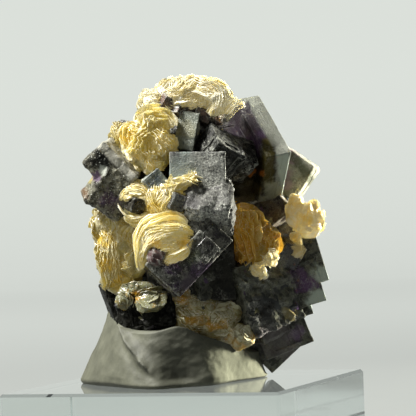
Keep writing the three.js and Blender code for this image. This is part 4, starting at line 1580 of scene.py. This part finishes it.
# %% Sizes of the tack
# The foot is places right and away, and the rim right, away and up, in mm.
PUTTY_FOOT = [
    (-18.9, 6.5), (-18.1, 0.5), (-13.8, -7), (-9, -14.2), (-4.8, -17.3), (-0.2, -15),
    (4.8, -12.8), (8, -7), (11.4, -1.4), (14.2, 3.6), (13.6, 8), (8, 12), (0, 13.5), (-10.5, 12.5),
]
PUTTY_RIM = [
    (-13.4, 4.6, 12.6), (-13, 0.8, 13), (-11.8, -5.4, 12), (-9.4, -9.6, 9.7), (-5.9, -13.6, 9.4),
    (-0.8, -13.4, 10.3), (2.5, -12.2, 8.8), (6.4, -9.2, 7.1), (11, -2.6, 5), (13.2, 4.2, 4.6),
    (11, 7.4, 5.6), (7, 9, 7.4), (0, 10.4, 9), (-9, 9.6, 10.6),
]
PUTTY_MIDDLE = np.array([-2, -1, 0])
PUTTY_HEIGHT = 10
PUTTY_SIDES = 230
PUTTY_LEVELS = 60
RIDGE_SPACING = 0.48
print("finger ridges:", RIDGE_SPACING, "mm apart")


# %% The tack's curves


def smooth_ring(points, count):
    """A closed smooth curve through the points, as the given count of places."""
    knots = np.array([(*p, 0)[:3] for p in points], float)
    n = len(knots)
    ring = []
    for k in range(count):
        t = k / count * n
        i, f = int(t), t - int(t)
        ring.append(curve_between(*(knots[(i + j) % n] for j in (-1, 0, 1, 2)), f))
    return np.array(ring)


def hill(value, centre, width):
    """A soft bump of one number round a centre."""
    return np.exp(-(((value - centre) / width) ** 2))


# %% Finger marks
FRONT_LIMIT = 2


def finger_marks(points, up):
    """How far each point of the skin is pushed out, in mm. up is 0 at the foot, 1 at the rim."""
    x, z = points[:, 0], points[:, 2]
    front = points[:, 1] < FRONT_LIMIT
    # A pinched ridge leans over the front left, with a hollow on each side of it.
    crest = -10.6 + 6.4 * (1 - up)
    pinch = np.clip((up - 0.2) / 0.3, 0, 1)
    ridge = np.exp(-np.abs(x - crest) / 0.9) * (1 + 0.3 * wander(points, 0.35, 9))
    push = 1.5 * pinch * ridge
    push -= 0.5 * pinch * hill(x, crest - 1.9, 1.3)
    push -= 1.0 * hill(x, crest + 3.4, 2.6) * np.sin(pi * np.sqrt(up))
    # The right half bulges, and the foot is rounded off where it meets the block.
    push += 0.5 * hill(x, 4.6, 3.0) * np.sin(pi * up)
    push *= front * np.minimum(1, up * 5 + 0.3)
    push -= 0.9 * (1 - np.minimum(1, up / 0.08)) ** 2
    # Broad dents all over, and the fine lines of a fingertip in front.
    dent = 0.5 * wander(points, 0.05, 5) + 0.12 * wander(points, 0.16, 6)
    whorl = z + 0.7 * x + 0.8 * wander(points, 0.06, 7)
    lines = 0.014 * np.sin(whorl * 2 * pi / RIDGE_SPACING) * hill(x, 0.5, 5) * front
    return push + dent * np.minimum(1, up * 6) + 0.04 * wander(points, 0.7, 8) + lines


# %% Shape and finish of the tack


def putty_lump():
    foot = smooth_ring(PUTTY_FOOT, PUTTY_SIDES)
    rim = smooth_ring(PUTTY_RIM, PUTTY_SIDES)
    up = np.linspace(0, 1, PUTTY_LEVELS + 1)[:, None, None]
    points = (foot[None] * (1 - up) + rim[None] * up).reshape(-1, 3)
    up = np.repeat(up, PUTTY_SIDES)
    outward = unit((points - PUTTY_MIDDLE) * (1, 1, 0))
    points = points + outward * finger_marks(points, up)[:, None]
    below, above = len(points), len(points) + 1
    points = np.concatenate([points, [PUTTY_MIDDLE, PUTTY_MIDDLE + (0, 0, PUTTY_HEIGHT)]])
    faces = []
    top = PUTTY_LEVELS * PUTTY_SIDES
    for side in range(PUTTY_SIDES):
        after = (side + 1) % PUTTY_SIDES
        for low in range(0, top, PUTTY_SIDES):
            high = low + PUTTY_SIDES
            faces.append((low + side, low + after, high + after, high + side))
        faces.append((below, after, side))
        faces.append((above, top + side, top + after))
    return new_object("pressed_putty", points, faces)


def putty_finish():
    finish = Finish("mineral_tack")
    cloud = finish.noise(0.3, 4)
    dust = finish.noise(4.0, 3)
    colour = finish.mix(cloud.smooth(0.3, 0.7), (0.062, 0.064, 0.044, 1), (0.09, 0.092, 0.064, 1))
    colour = finish.mix(dust.smooth(0.55, 0.75) * 0.35, colour, (0.18, 0.183, 0.135, 1))
    # Painted shade: a darker patch over the middle of the front, where the specimen above shades
    # the tack.
    colour = finish.mix(patch(finish, -1.6, 5.4, 5.4) * 0.45, colour, (0.03, 0.031, 0.022, 1))
    body = finish.principled(
        Base_Color=colour,
        Roughness=dust * 0.3 + 0.5,
        Specular_IOR_Level=0.4,
        Normal=finish.bump(dust + finish.noise(9.0, 2) * 0.5, 0.06, 0.6),
    )
    return finish.close(body)


putty = putty_lump()
putty.data.shade_smooth()
settle(putty, putty_finish(), "putty", "putty")

# %% [markdown]
# ## The clear block
#
# The block's shape in the CAD model is right, so it stays and only gets a finish: clear acrylic
# with faint smears on its polish. The plain absorption gives the cool tint of a thick piece.

# %% Block


def acrylic_finish():
    finish = Finish("clear_acrylic")
    smear = finish.noise(0.12, 3)
    colour = finish.mix(smear, (0.96, 0.98, 0.975, 1), (0.99, 1, 0.995, 1))
    body = finish.principled(
        Base_Color=colour,
        Roughness=smear.smooth(0.5, 0.8) * 0.06 + 0.01,
        IOR=1.49,
        Transmission_Weight=1.0,
    )
    return finish.close(body, finish.absorption((0.76, 0.84, 0.83, 1), 12.0))


block = frame["nodes"]["acrylic_block"]
clear_acrylic = acrylic_finish()
for holder in block.material_slots:
    holder.material = clear_acrylic
print("block slots:", len(block.material_slots))
